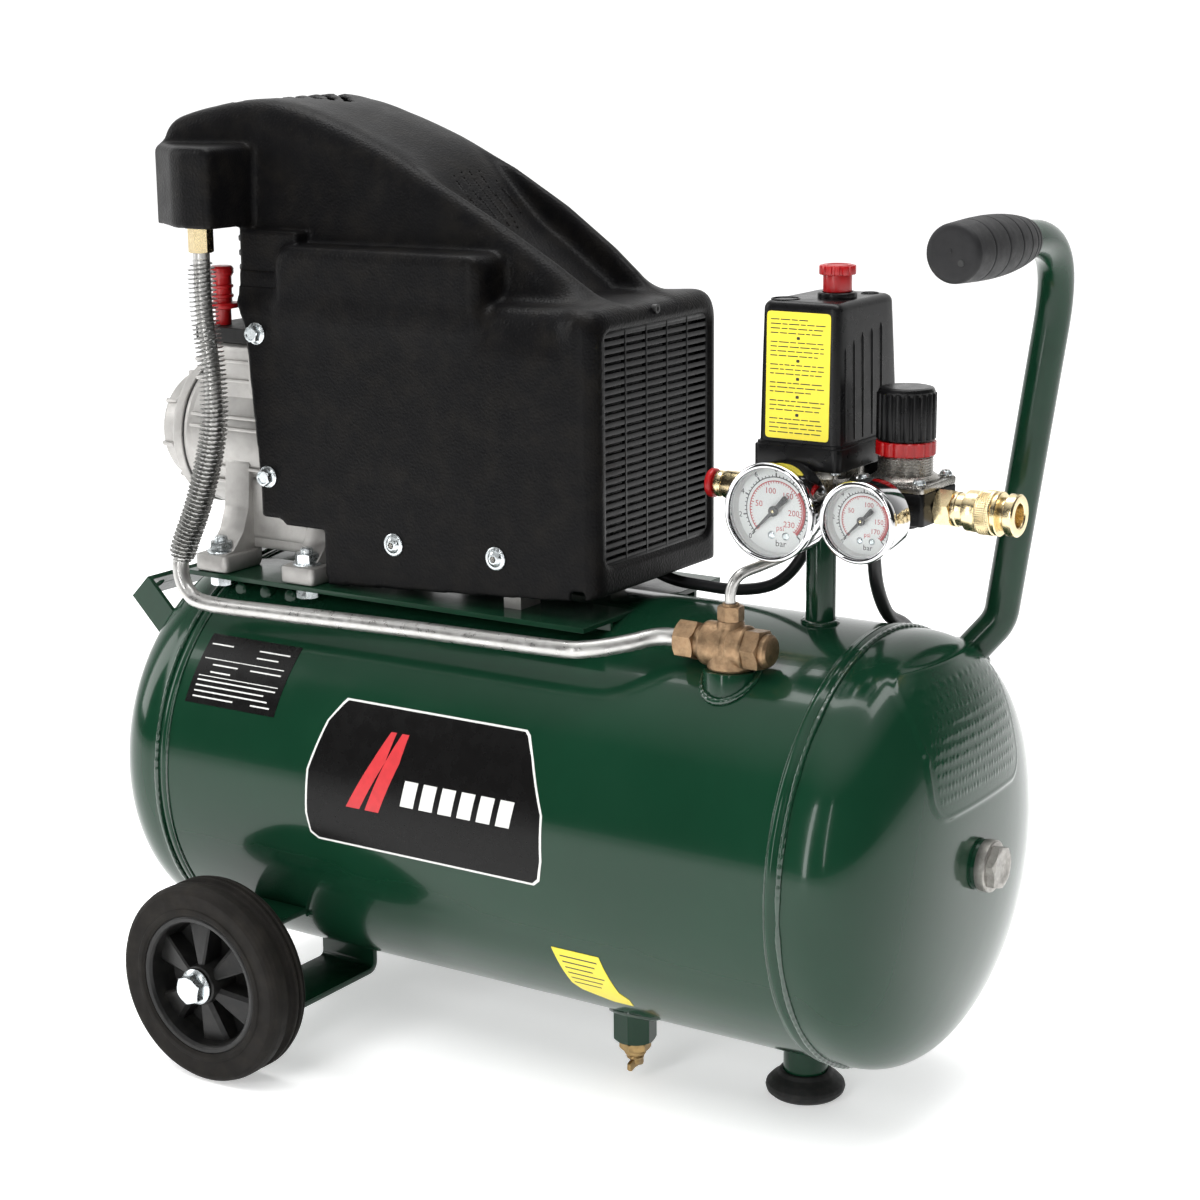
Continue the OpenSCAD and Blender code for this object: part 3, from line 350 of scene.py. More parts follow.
def prism(outline, lo, hi, at=(0, 0, 0), axis=Z, edge=0.6, n=2, up=None):
    """An outline pushed along an axis, with rounded edges."""
    o = np.array(outline, float)
    if (o[:, 0] * np.roll(o[:, 1], -1) - np.roll(o[:, 0], -1) * o[:, 1]).sum() < 0:
        o = o[::-1]
    u, v, a = basis(axis, up)
    levels = []
    for k in range(n + 1):
        s = math.pi / 2 * k / n if n else math.pi / 2
        levels.append((edge * (1 - math.sin(s)), edge * (1 - math.cos(s))))
    rings = [(d, lo + h) for d, h in levels] + [(d, hi - h) for d, h in reversed(levels)]
    return skin([np.asarray(at, float) + np.outer(q[:, 0], u) + np.outer(q[:, 1], v) + h * a
                 for d, h in rings for q in (inset(o, d),)])


def rect(w, h, r, n=4, at=(0, 0)):
    """A rectangle with rounded corners round the point at."""
    c = [(w / 2, h / 2), (-w / 2, h / 2), (-w / 2, -h / 2), (w / 2, -h / 2)]
    return (fillet(c, r, n, True) if r else np.array(c, float)) + np.array(at, float)


def divided(q, corner, parts):
    """The outline of a rect, with each straight side cut into parts."""
    out = []
    for i, a in enumerate(q):
        out.append(a)
        if i % corner == corner - 1:
            b = q[(i + 1) % len(q)]
            out += [a + (b - a) * k / parts for k in range(1, parts)]
    return np.array(out)


def rbox(lo, hi, r=0.8, corner=None, axis=2):
    """A box with rounded edges; corner is the bigger radius of the edges along the axis."""
    lo, hi = np.minimum(lo, hi).astype(float), np.maximum(lo, hi).astype(float)
    mid, size = (lo + hi) / 2, hi - lo
    i, j = {0: (1, 2), 1: (2, 0), 2: (0, 1)}[axis]
    at = mid.copy()
    at[axis] = 0
    return prism(rect(size[i], size[j], corner if corner else r, 4 if corner else 2), lo[axis],
                 hi[axis], at, (X, Y, Z)[axis], r)


def frames_along(path, side):
    """The points, tangents and two side directions of a path, without twist."""
    p = np.asarray(path, float)
    t = np.gradient(p, axis=0)
    t /= np.linalg.norm(t, axis=1)[:, None]
    u = np.zeros_like(p)
    s = np.asarray(side, float)
    for i in range(len(p)):
        s = unit(s - t[i] * (s @ t[i]))
        u[i] = s
    return p, t, u, np.cross(t, u)


def sweep(path, radius, n=16, side=Y):
    """A round tube along the path; radius is one number, or one for each point."""
    p, _, u, w = frames_along(path, side)
    a = np.linspace(0, 2 * math.pi, n, endpoint=False)
    r = np.broadcast_to(radius, (len(p),))
    across = [np.outer(np.cos(a), u[i]) + np.outer(np.sin(a), w[i]) for i in range(len(p))]
    return skin([p[i] + r[i] * across[i] for i in range(len(p))], False, True)


def spline(p, k):
    """Catmull-Rom curve through the points, with k steps to each span."""
    p = np.asarray(p, float)
    out = []
    for i in range(len(p) - 1):
        a, b, c, d = p[max(i - 1, 0)], p[i], p[i + 1], p[min(i + 2, len(p) - 1)]
        for j in range(k):
            t = j / k
            out.append(0.5 * (2 * b + (c - a) * t + (2 * a - 5 * b + 4 * c - d) * t * t
                              + (3 * b - a - 3 * c + d) * t ** 3))
    return np.array(out + [p[-1]])


def hexed(at, axis, radius, h, low=0.0, dish=0.0, both=False, spin=0.0):
    """A hexagonal nut or bolt head with turned-off corners."""
    u, v, a = basis(axis)
    t = np.linspace(0, 2 * math.pi, 36, endpoint=False)
    flat = radius * math.cos(math.pi / 6)
    rho = flat / np.cos((t + math.pi / 6) % (math.pi / 3) - math.pi / 6)
    drop = (rho - flat) * 0.62
    turn = t + math.radians(spin)
    out = np.outer(np.cos(turn), u) + np.outer(np.sin(turn), v)
    rows = [(np.full(36, flat * 0.97), np.full(36, low))] if both else []
    rows += [(rho, low + (drop if both else 0)), (rho, low + h - drop),
             (np.full(36, flat * 0.97), np.full(36, low + h))]
    if dish:
        floor = np.full(36, low + h - dish)
        rows += [(np.full(36, flat * 0.8), np.full(36, low + h)), (np.full(36, flat * 0.7), floor),
                 (np.full(36, 0.1), floor)]
    return skin([np.asarray(at, float) + out * r[:, None] + np.outer(z, a) for r, z in rows])


def flange_bolt(piece, at, axis, flange, radius, h, mat, thick=1.6, spin=0.0):
    """A hexagonal bolt head on its own flange."""
    piece.add(turned([(0, 0), (flange, 0), (flange, thick * 0.6), (radius * 0.9, thick * 1.5),
                      (0, thick * 1.5)], at, axis, 40, 0.3), mat)
    piece.add(hexed(at, axis, radius, h, thick * 0.9, dish=h * 0.16, spin=spin), mat)


def thread(piece, at, axis, radius, lo, hi, pitch, mat, depth=0.5, n=40):
    """A round stem with a screw thread cut as ridges."""
    count = int((hi - lo) / pitch)
    rows = [(0.0, lo), (radius - depth, lo)]
    for k in range(count):
        z = lo + (k + 0.5) * (hi - lo) / count
        rows += [(radius - depth, z - pitch * 0.42), (radius, z - pitch * 0.08), (radius, z + pitch * 0.08),
                 (radius - depth, z + pitch * 0.42)]
    piece.add(turned(rows + [(radius - depth, hi), (0.0, hi)], at, axis, n, 0), mat)


def bead(piece, path, r, mat, seed=1, pitch=3.2, side=Z):
    """A rippled weld bead."""
    g = np.random.default_rng(abs(seed))
    p = np.asarray(path, float)
    s = np.r_[0, np.cumsum(np.linalg.norm(np.diff(p, axis=0), axis=1))]
    fine = np.linspace(0, s[-1], max(int(s[-1] / (pitch / 5)), 8))
    q = np.c_[[np.interp(fine, s, p[:, k]) for k in range(3)]].T
    slow = np.interp(fine, np.linspace(0, s[-1], max(int(s[-1] / 11), 3) + 1),
                     g.normal(0, 0.13, max(int(s[-1] / 11), 3) + 1))
    saw = (fine / pitch) % 1.0
    radii = r * (0.92 + 0.16 * (1 - saw) + slow)
    piece.add(sweep(q, radii, 10, side), mat)


def ring_path(at, axis, r, n=72):
    """The points of a circle, with the first one repeated at the end."""
    u, v, _ = basis(axis)
    t = np.radians(np.linspace(0.0, 360.0, n))
    return np.asarray(at, float) + r * (np.outer(np.cos(t), u) + np.outer(np.sin(t), v))


def lettered(piece, text, size, at, mat):
    """Numbers of a dial, as a thin mesh that faces -Y."""
    curve = bpy.data.curves.new("number", "FONT")
    curve.body, curve.size, curve.extrude = text, size * MM, 0.00005
    curve.align_x, curve.align_y, curve.resolution_u = "CENTER", "CENTER", 2
    temp = bpy.data.objects.new("number", curve)
    mesh = bpy.data.meshes.new_from_object(temp)
    v = np.array([p.co for p in mesh.vertices], float).reshape(-1, 3) / MM
    piece.add((np.c_[v[:, 0], -v[:, 2], v[:, 1]] + np.asarray(at, float),
               [tuple(q.vertices) for q in mesh.polygons]), mat)
    bpy.data.objects.remove(temp)
    bpy.data.curves.remove(curve)
    bpy.data.meshes.remove(mesh)


def softened(node, mat, width=0.5):
    """A CAD node that stays, with a better finish and slightly rounded edges."""
    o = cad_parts[node]
    o.data.materials.clear()
    o.data.materials.append(mat)
    weld = o.modifiers.new("weld", "WELD")
    weld.merge_threshold = 1e-6
    b = o.modifiers.new("bevel", "BEVEL")
    b.width, b.segments, b.limit_method = width * MM, 2, "ANGLE"
    b.angle_limit = math.radians(32)
    b.use_clamp_overlap = True
    b.harden_normals = True


# Cord ----------------------------------------------------------------------------------------
ROUTE = [[190, 24, 345], [190, 25, 325], [190, 30, 304], [190, 44, 285], [190, 64, 275], [190, 84, 261],
         [190, 102, 243], [190, 116, 220], [190, 126, 193], [190, 130, 164], [190, 130, 120], [190, 130, 80],
         [189, 130, 52], [184, 129, 28], [171, 127, 11], [152, 125, 4.2], [130, 124, 4.2], [110, 124, 4.2],
         [84, 124, 4.2], [60, 124, 4.2]]
COIL, PLUG = (60, 175), (20, 124, 17.2)


def make_plug():
    """The mains plug, with its strain relief and two pins."""
    p = Piece("plug_visual")
    p.add(turned([(0, 0), (4.9, 0), (5.4, 2), (6.6, 22), (10.5, 27.5), (15.2, 33), (17, 38), (17, 54),
                  (15.2, 58), (0, 58)], PLUG, (-1, 0, 0), 56, 1.5, 3), rubber)
    for k in range(5):
        p.add(turned([(5.0 + 0.32 * k, 3 + 3.6 * k), (6.3 + 0.3 * k, 3.4 + 3.6 * k),
                      (6.3 + 0.3 * k, 5.2 + 3.6 * k), (5.0 + 0.32 * k, 5.6 + 3.6 * k)], PLUG, (-1, 0, 0),
                     40, 0.4, 2, True), rubber)
    for y in (-9.5, 9.5):
        at = (PLUG[0], PLUG[1] + y, PLUG[2])
        p.add(turned([(0, 57), (2.4, 57), (2.4, 75), (1.5, 77), (0, 77)], at, (-1, 0, 0), 24, 0.6, 3), nickel)
        p.add(turned([(2.45, 57.5), (2.7, 57.6), (2.7, 65), (2.45, 65.2)], at, (-1, 0, 0),
                     24, 0, 0, True), rubber)
    return p.make("frame", ["mains_plug"], "rubber")


def make_tie():
    """The band that holds the coil, round all its turns at one place."""
    t = Piece("coil_tie")
    rows = []
    for w, h, y in ((34.4, 17.4, -2.2), (34.4, 17.4, 2.2), (32.8, 15.8, 2.2), (32.8, 15.8, -2.2)):
        q = rect(w, h, 4, 4, (COIL[0] + 43.2, 8.8))
        rows.append(np.c_[q[:, 0], np.full(len(q), COIL[1] + y), q[:, 1]])
    t.add(skin(rows, True), moulded)
    return t.make("frame", (), None, 40)


def make_cord():
    """The mains lead: down behind the tank, along the floor and into a coil."""
    points = [list(q) for q in spline(ROUTE, 6)]
    for t in np.arange(6, 1440.1, 6):
        turn = min(t, 1440 - t)
        r = 51.3 - 16.3 * min(turn, 720) / 720
        z = 4.2 + 8.1 * np.clip((t - 690) / 60, 0, 1) ** 2 * (3 - 2 * np.clip((t - 690) / 60, 0, 1))
        a = math.radians(-90 - t)
        points.append([COIL[0] + r * math.cos(a), COIL[1] + r * math.sin(a), z])
    x, y, z = points[-1]
    for k in range(1, 9):
        s = k / 8
        points.append([x + (PLUG[0] - x) * s, y + (PLUG[1] - y) * s, z + (PLUG[2] - z) * s * s * (3 - 2 * s)])
    curve = bpy.data.curves.new("mains_lead", "CURVE")
    curve.dimensions, curve.bevel_depth, curve.bevel_resolution, curve.use_fill_caps = "3D", 0.004, 4, True
    line = curve.splines.new("POLY")
    line.points.add(len(points) - 1)
    for q, c in zip(line.points, points):
        q.co = (c[0] * MM, c[1] * MM, c[2] * MM, 1)
    line.use_smooth = True
    obj = bpy.data.objects.new("mains_lead", curve)
    link(obj)
    curve.materials.append(cable)
    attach(obj, "frame")
    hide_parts("mains_cord", "cord_coil")
    make_plug()
    make_tie()


make_cord()


# Tank ----------------------------------------------------------------------------------------
DISH, POWER = 55, 2.62                    # depth and curve of the heads


def dome(x0, side, n=40):
    """Outline of a head from the seam to the middle, as evenly spaced (radius, x)."""
    a = np.linspace(0, math.pi / 2, 1500)
    r, x = TANK_R * np.abs(np.cos(a)) ** (2 / POWER), 12 + DISH * np.sin(a) ** (2 / POWER)
    r[-1] = 0.02
    s = np.r_[0, np.cumsum(np.hypot(np.diff(r), np.diff(x)))]
    k = np.linspace(0, s[-1], n)
    return list(zip(np.interp(k, s, r), x0 + side * np.interp(k, s, x)))


def make_tank():
    """The shell and heads in one surface, with the weld beads, bungs, foot post and riser."""
    p = Piece("tank_visual")
    around = 400
    front = [(125.0, 204.6), (125.7, 205.2), (126.4, 206.5), (126.4, 208.6), (125.6, 210.2), (125, 212)]
    front += dome(205, 1, 165)[1:]
    rear = [(125.0, -216.6), (125.7, -217.2), (126.4, -218.5), (126.4, -220.6), (125.6, -222.2), (125, -224)]
    rear += dome(-217, -1, 60)[1:]
    rows = rear[::-1] + [(125.0, x) for x in np.linspace(-215.5, 203.5, 60)] + front
    u, v, _ = basis(X)
    t = np.linspace(0, 2 * math.pi, around, endpoint=False)
    rings = []
    for r, x in rows:
        q = np.outer(np.cos(t), u) * r + np.outer(np.sin(t), v) * r + np.array([x, 0, TANK_Z])
        if x > 215:                       # the plate on the front head, with rows of raised strokes
            s = np.maximum(np.abs(q[:, 1] - 2) - 40, 0)
            h = np.maximum(np.abs(q[:, 2] - 237) - 23, 0)
            d = np.hypot(s, h) - 15
            notch = np.hypot(q[:, 1] + 56, q[:, 2] - 234) - 4.5
            d = np.maximum(d, -notch)
            plate = 1 / (1 + np.exp(np.clip(d * 1.7, -30, 30)))
            rim = np.exp(-((d - 0.2) / 1.2) ** 2)
            row = (q[:, 2] - 203) / 6.4
            k = np.round(row)
            dash = np.sin(q[:, 1] * 1.7 + k * 9.1) + np.sin(q[:, 1] * 2.9 + k * 4.3) > -0.2
            marks = np.exp(-((row - k) * 6.4 / 1.5) ** 2) * dash * (d < -6)
            q += (0.9 * plate + 0.7 * rim + 0.28 * marks)[:, None] * unit([0.9, 0, 0.35])
        rings.append(q)
    p.add(skin(rings), paint)
    for x, seed, r in ((213.2, 3, 1.7), (205.0, 5, 0.8), (-225.2, 9, 1.7), (-217.0, 11, 0.8)):
        bead(p, ring_path((x, 0, TANK_Z), X, 125.2, 300), r, weld_paint, seed, 5.5, X)
    # bungs, post and riser with their weld fillets
    for x, y, r, lo, hi, six_sided in ((150, -66, 15, 240, 272, False), (163.5, 0, 13.2, 8, 48, False),
                                        (70, -40, 13, 27, 56, True)):
        if six_sided:
            p.add(hexed((x, y, 0), Z, r, hi - lo, lo, both=True, spin=12), paint)
        else:
            p.add(turned([(0, lo), (r, lo), (r, hi), (0, hi)], (x, y, 0), Z, 48, 0.8), paint)
        ring = ring_path((x, y, 0), Z, r + 0.9, 60)
        up = 1 if lo > TANK_Z else -1
        ring[:, 2] = TANK_Z + up * np.sqrt(125.4 ** 2 - ring[:, 1] ** 2)
        bead(p, np.vstack([ring, ring[:1]]), 1.9, weld_paint, int(x), 4.0)
    p.add(turned([(0, 240), (8.5, 240), (8.5, 345), (0, 345)], (170, 0, 0), Z, 40, 0.4), paint)
    ring = ring_path((170, 0, 0), Z, 9.2, 50)
    ring[:, 2] = TANK_Z + np.sqrt(125.2 ** 2 - ring[:, 1] ** 2)
    bead(p, np.vstack([ring, ring[:1]]), 2.0, weld_paint, 5, 4.0)
    p.add(turned([(0, 240), (14.2, 240), (14.2, 278), (0, 278)], (0, 0, TANK_Z), X, 56, 0.6), paint)
    p.make("frame", ["tank_shell", "front_head", "rear_head", "riser_pipe"], "tank_paint")

    q = Piece("tank_plug_visual")
    q.add(turned([(0, 274), (14.7, 274), (14.7, 279.4), (13.9, 280.1), (0, 280.1)],
                 (0, 0, TANK_Z), X, 48, 0.4), dull_zinc)
    q.add(hexed((0, 0, TANK_Z), X, 13.0, 5.1, 279.9, dish=0.5, spin=14), dull_zinc)
    q.make("frame", ["tank_plug"], "rough_brass")


def patch(piece, rows, mat, lift=0.28):
    """A thin sticker on the tank: rows of (angle from the top towards -Y, lowest x, highest x)."""
    a = np.array([r[0] for r in rows], float)
    fine = np.unique(np.r_[np.arange(a[0], a[-1], 1.0), a])
    x0 = np.interp(fine, a, [r[1] for r in rows])
    x1 = np.interp(fine, a, [r[2] for r in rows])
    cols = max(int((x1 - x0).max() / 20), 2)
    outer = TANK_R + lift
    grid = []
    for t, lo, hi in zip(np.radians(fine), x0, x1):
        for x in np.linspace(lo, hi, cols + 1):
            grid.append([x, -outer * math.sin(t), TANK_Z + outer * math.cos(t)])
    m, n = len(fine), cols + 1
    top = np.array(grid)
    centre = np.c_[top[:, 0], np.zeros(len(top)), np.full(len(top), float(TANK_Z))]
    under = centre + (top - centre) * ((TANK_R - 0.4) / outer)
    f = [(i * n + j, i * n + j + 1, (i + 1) * n + j + 1, (i + 1) * n + j)
         for i in range(m - 1) for j in range(n - 1)]
    k = m * n
    f += [tuple(x + k for x in reversed(q)) for q in f]
    edge = [i for i in range(n)] + [i * n + n - 1 for i in range(1, m)] \
        + [(m - 1) * n + j for j in range(n - 2, -1, -1)] + [i * n for i in range(m - 2, 0, -1)]
    f += [(edge[i], edge[(i + 1) % len(edge)], edge[(i + 1) % len(edge)] + k,
           edge[i] + k) for i in range(len(edge))]
    piece.add((np.vstack([top, under]), f), mat)


def make_stickers():
    """The side label, the rating label and the drain label, all without words."""
    p = Piece("side_sticker")
    outline = [(57.0, -88, 41), (58.2, -90, 44), (64, -98, 50), (78, -107, 62), (90, -107, 63),
               (95.5, -104, 61), (97.0, -98, 57)]
    patch(p, outline, pale_ink, 0.2)
    patch(p, [(57.6, -86.5, 40), (58.6, -88.5, 42.5), (64, -96.5, 48.5), (78, -105.5, 60.5),
              (90, -105.5, 61.5), (95.0, -103, 59.5), (96.4, -97.5, 56)], sticker, 0.3)
    patch(p, [(64, -50, -46), (72, -59, -50), (86, -76, -66)], red_ink, 0.36)
    patch(p, [(64, -42, -37), (72, -50, -40), (86, -62, -52)], red_ink, 0.36)
    for k in range(6):
        x = -34 + 13.5 * k
        patch(p, [(76, x, x + 9.5), (83, x - 2.5, x + 7)], pale_ink, 0.36)
    p.make("frame", (), None, 30)
    q = Piece("rating_sticker")
    patch(q, [(45, -206, -135), (66, -209, -138)], sticker, 0.28)
    for t, a, b in ((48, -203, -186), (48, -165, -141), (50.2, -165, -148), (54.2, -196, -176),
                    (56.4, -196, -180), (54.2, -166, -142), (59.0, -204, -142), (60.6, -204, -150),
                    (62.2, -204, -146), (63.8, -204, -172), (63.8, -158, -143)):
        patch(q, [(t, a, b), (t + 0.42, a, b)], pale_ink, 0.33)
    for t in (52.6, 57.8):
        patch(q, [(t, -204, -141), (t + 0.25, -204, -141)], pale_ink, 0.33)
    q.make("frame", (), None, 30)
    w = Piece("drain_sticker")
    patch(w, [(116, 60, 92), (131, 62, 94), (134, 66, 98), (138, 84, 97)], yellow, 0.28)
    for k in range(6):
        t = 118.4 + 2.3 * k
        lo, hi = 64 + 0.15 * k, 89 - 3 * (k % 3)
        patch(w, [(t, lo, hi), (t + 0.5, lo, hi)], ink_and_painted_shade, 0.33)
    w.make("frame", (), None, 30)


make_tank()
make_stickers()


# Running gear --------------------------------------------------------------------------------
def strip(path, t):
    """The outline of a bent plate of thickness t whose middle line is path."""
    p = np.asarray(path, float)
    d = np.gradient(p, axis=0)
    d /= np.linalg.norm(d, axis=1)[:, None]
    n = np.c_[-d[:, 1], d[:, 0]] * t / 2
    return np.vstack([p + n, (p - n)[::-1]])


def make_wheel(side):
    """side is -1 for the wheel on the -Y side."""
    name = "left" if side < 0 else "right"
    at, axis = (-150, side * 179.5, 61), (0, side, 0)      # the outer face; heights are negative inwards
    t = Piece(name + "_tyre_visual")
    t.add(turned([(42.6, -1.4), (44.5, -0.2), (47.2, -0.2), (47.8, -0.9), (52, -0.6), (56.5, -0.4),
                  (58.6, -1.4), (60.2, -3.4), (61, -6.5), (61, -11.6), (58.6, -12.4), (57.6, -13.2),
                  (57.6, -18.4), (58.8, -19.2), (60.9, -19.8), (60.9, -21.6), (58.2, -22.2), (58.2, -23.4),
                  (60.9, -24.0), (60.9, -25.7), (58.2, -26.3), (58.2, -27.4), (60.2, -28.0), (57.5, -30.5),
                  (52, -31), (44.5, -31), (42.6, -29.6)], at, axis, 144, 0.45, 2, True), tread)
    t.make(name + "_wheel", [name + "_tyre"], "tyre_rubber", 30)
    h = Piece(name + "_hub_visual")
    h.add(turned([(43, -2.0), (41.6, -1.0), (39.4, -1.4), (38.2, -3.2), (37.2, -15), (36, -19.5),
                  (12, -20), (12, -22.5), (37.5, -22.5), (38.6, -28.5), (40, -30), (43, -30)], at, axis,
                 96, 0.5, 2, True), hub_plastic)
    h.add(turned([(5.2, -1.0), (11.2, -1.0), (12.0, -2.0), (13.2, -20.5), (13.2, -22), (12, -31), (5.2, -31)],
                 at, axis, 56, 0.6, 2, True), hub_plastic)
    for a in (97, 37, -23, -83, 157, -143):
        c, s = math.cos(math.radians(a)), math.sin(math.radians(a))
        rows = []
        for r, half, top in ((10.5, 3.2, -4.2), (20, 5.6, -5.8), (30, 8.0, -7.6), (38.4, 10.2, -9.2)):
            ring = []
            for w, z in ((-half, top - 1.0), (-half + 1.2, top), (half - 2.4, top - 0.9), (half, top - 3.0),
                         (half, -20.5), (-half, -20.5)):
                ring.append([at[0] + r * c - w * s, at[1] + side * z, at[2] + r * s + w * c])
            rows.append(np.array(ring))
        h.add(skin(rows), hub_plastic)
    h.make(name + "_wheel", [name + "_wheel"], "black_plastic", 32)


def make_running_gear():
    """Wheels, brackets, axle bolts, rubber foot and drain valve."""
    make_wheel(-1)
    make_wheel(1)
    p = Piece("wheel_brackets_visual")
    for side in (-1, 1):
        path = fillet([(36, 46), (36, 28), (141, 28), (141, 88), (96, 88)], 6, 5)
        path[:, 0] *= side
        p.add(prism(strip(path, 4), -171, -129, axis=X, edge=0.7), frame_paint)
        for x in (-171, -129):
            for y, z in ((36, 41.5), (98, 84)):
                bead(p, [(x, side * (y - 3), z - 0.5), (x, side * (y + 3), z + 1.5)], 1.5,
                     weld_paint, int(y + x), 3)
        bead(p, [(x, side * 33.6, 41.8) for x in np.linspace(-168, -132, 12)], 1.6, weld_paint, 21, 4)
    p.make("frame", ["wheel_brackets"], "tank_paint")
    b = Piece("axle_bolts_visual")
    for side in (-1, 1):
        at, axis = (-150, 0, 61), (0, side, 0)
        b.add(turned([(0, 130), (5, 130), (5, 184), (0, 184)], at, axis, 32, 0.3), zinc)
        b.add(hexed(at, axis, 9.2, 8, 131, both=True), zinc)
        b.add(turned([(5, 143.1), (8, 143.1), (8, 148.2), (5, 148.2)], at, axis, 40, 0.4, 2, True), zinc)
        b.add(turned([(0, 179.8), (11, 179.8), (11, 180.6), (8.6, 182.3), (0, 182.3)],
                     at, axis, 48, 0.35), zinc)
        b.add(hexed(at, axis, 9.2, 6.2, 181.6, dish=0.0, spin=20), zinc)
    b.make("frame", ["axle_bolts"], "zinc")
    f = Piece("rubber_foot_visual")
    f.add(turned([(0, 0), (17.5, 0), (20.5, 0.5), (22.8, 2.6), (23.6, 5.2), (23.0, 7.4),
                  (20.2, 10.4), (16.6, 13.0), (15.2, 15.2), (13.2, 15.6), (13.1, 10), (0, 10)],
                 (163.5, 0, 0), Z, 64, 0.7, 3), rubber)
    f.make("frame", ["rubber_foot"], "rubber")
    d = Piece("drain_valve_visual")
    at = (70, -40, 0)
    d.add(hexed(at, Z, 9.6, 5.2, 21.2, both=True, spin=8), dull_brass)
    thread(d, at, Z, 6.6, 26, 31, 1.4, dull_brass, 0.6)
    d.add(turned([(3.1, 17.9), (6.2, 17.9), (6.6, 19), (6.2, 21.6), (3.1, 21.6)], at, Z, 40,
                 0.5, 2, True), dull_brass)
    d.make("frame", ["drain_valve"], "rough_brass")
    s = Piece("drain_screw_visual")
    s.add(turned([(0, 15.2), (4.8, 15.2), (5.4, 16), (4.8, 17.3), (2.9, 17.5), (2.9, 36), (0, 36)], at,
                 Z, 36, 0.4), dull_brass)
    s.add(turned([(0, 11.5), (3.0, 11.5), (3.4, 15.4), (0, 15.4)], at, Z, 32, 0.5), dull_brass)
    wing = fillet([(-7.6, 9.4), (-6.2, 8.1), (-2, 9.3), (2, 9.3), (6.2, 8.1), (7.6, 9.4), (7.4, 13.2),
                   (3, 15.3), (-3, 15.3), (-7.4, 13.2)], 1.4, 4, True)
    s.add(prism(wing, -1.3, 1.3, at, X, 0.5), dull_brass)
    s.make("drain_screw", ["drain_screw"], "rough_brass")


make_running_gear()


# Handle --------------------------------------------------------------------------------------
def make_handle():
    """The bent tube with its weld, and the grip."""
    p = Piece("handle_tube_visual")
    route = fillet([(216, 58, 243), (246, 75, 282), (276.5, 81, 503.5),
                    (276.5, -57, 503.5)], [0, 24, 52, 0], 18)
    dense = [route[0]]
    for a, b in zip(route, route[1:]):
        k = max(int(np.linalg.norm(b - a) / 12), 1)
        dense += [a + (b - a) * j / k for j in range(1, k + 1)]
    p.add(sweep(dense, 10, 32), frame_paint)
    g = []
    for t in np.linspace(0, 2 * math.pi, 60):
        c = math.cos(t) * unit([0.35, -0.9, -0.1]) + math.sin(t) * unit([0.75, 0.25, -0.6])
        c = np.array([231, 66, 258]) + 11.2 * c
        for _ in range(3):                # onto the head's surface
            rr = math.hypot(c[1], c[2] - TANK_Z)
            lim = TANK_R * max(1 - max((c[0] - 217) / DISH, 0) ** POWER, 0.01) ** (1 / POWER)
            c[1], c[2] = c[1] * lim / rr, TANK_Z + (c[2] - TANK_Z) * lim / rr
        g.append(c)
    bead(p, g, 1.8, weld_paint, 12, 4.0)
    p.make("frame", ["handle_tube"], "tank_paint")
    q = Piece("handle_grip_visual")
    length, grooves = 85.5, (0.045, 0.115, 0.235, 0.39, 0.59, 0.785)
    rows = [(10.1, 0.6), (11.2, 0)]
    for t in np.linspace(0.008, 0.968, 170):
        r = 11.8 + 3.4 * t + 3 * math.sin(math.pi * t ** 0.8)
        cut = max([math.exp(-((t - g) * length / 0.5) ** 2) for g in grooves])
        rows.append((r - 0.9 * cut, t * length))
    r = rows[-1][0]
    rows += [(r - 0.5, length - 1.7), (r - 1.5, length - 0.7), (r - 3, length - 0.15),
             (r - 4.5, length), (0, length)]
    q.add(turned([(0, 0.6)] + rows, (276.5, 20, 503.5), (0, -1, 0), 72, 0), foam)
    q.add(turned([(0, 0), (1.7, 0), (1.7, 0.25), (0, 0.25)], (281.5, -65.55, 499), (0, -1, 0), 24, 0), ink_and_painted_shade)
    q.add(turned([(0, 0), (1.0, 0), (1.0, 0.3), (0, 0.3)], (275.5, -65.55, 505), (0, -1, 0), 20, 0), foam)
    q.make("frame", ["handle_grip"], "black_plastic", 30)


make_handle()


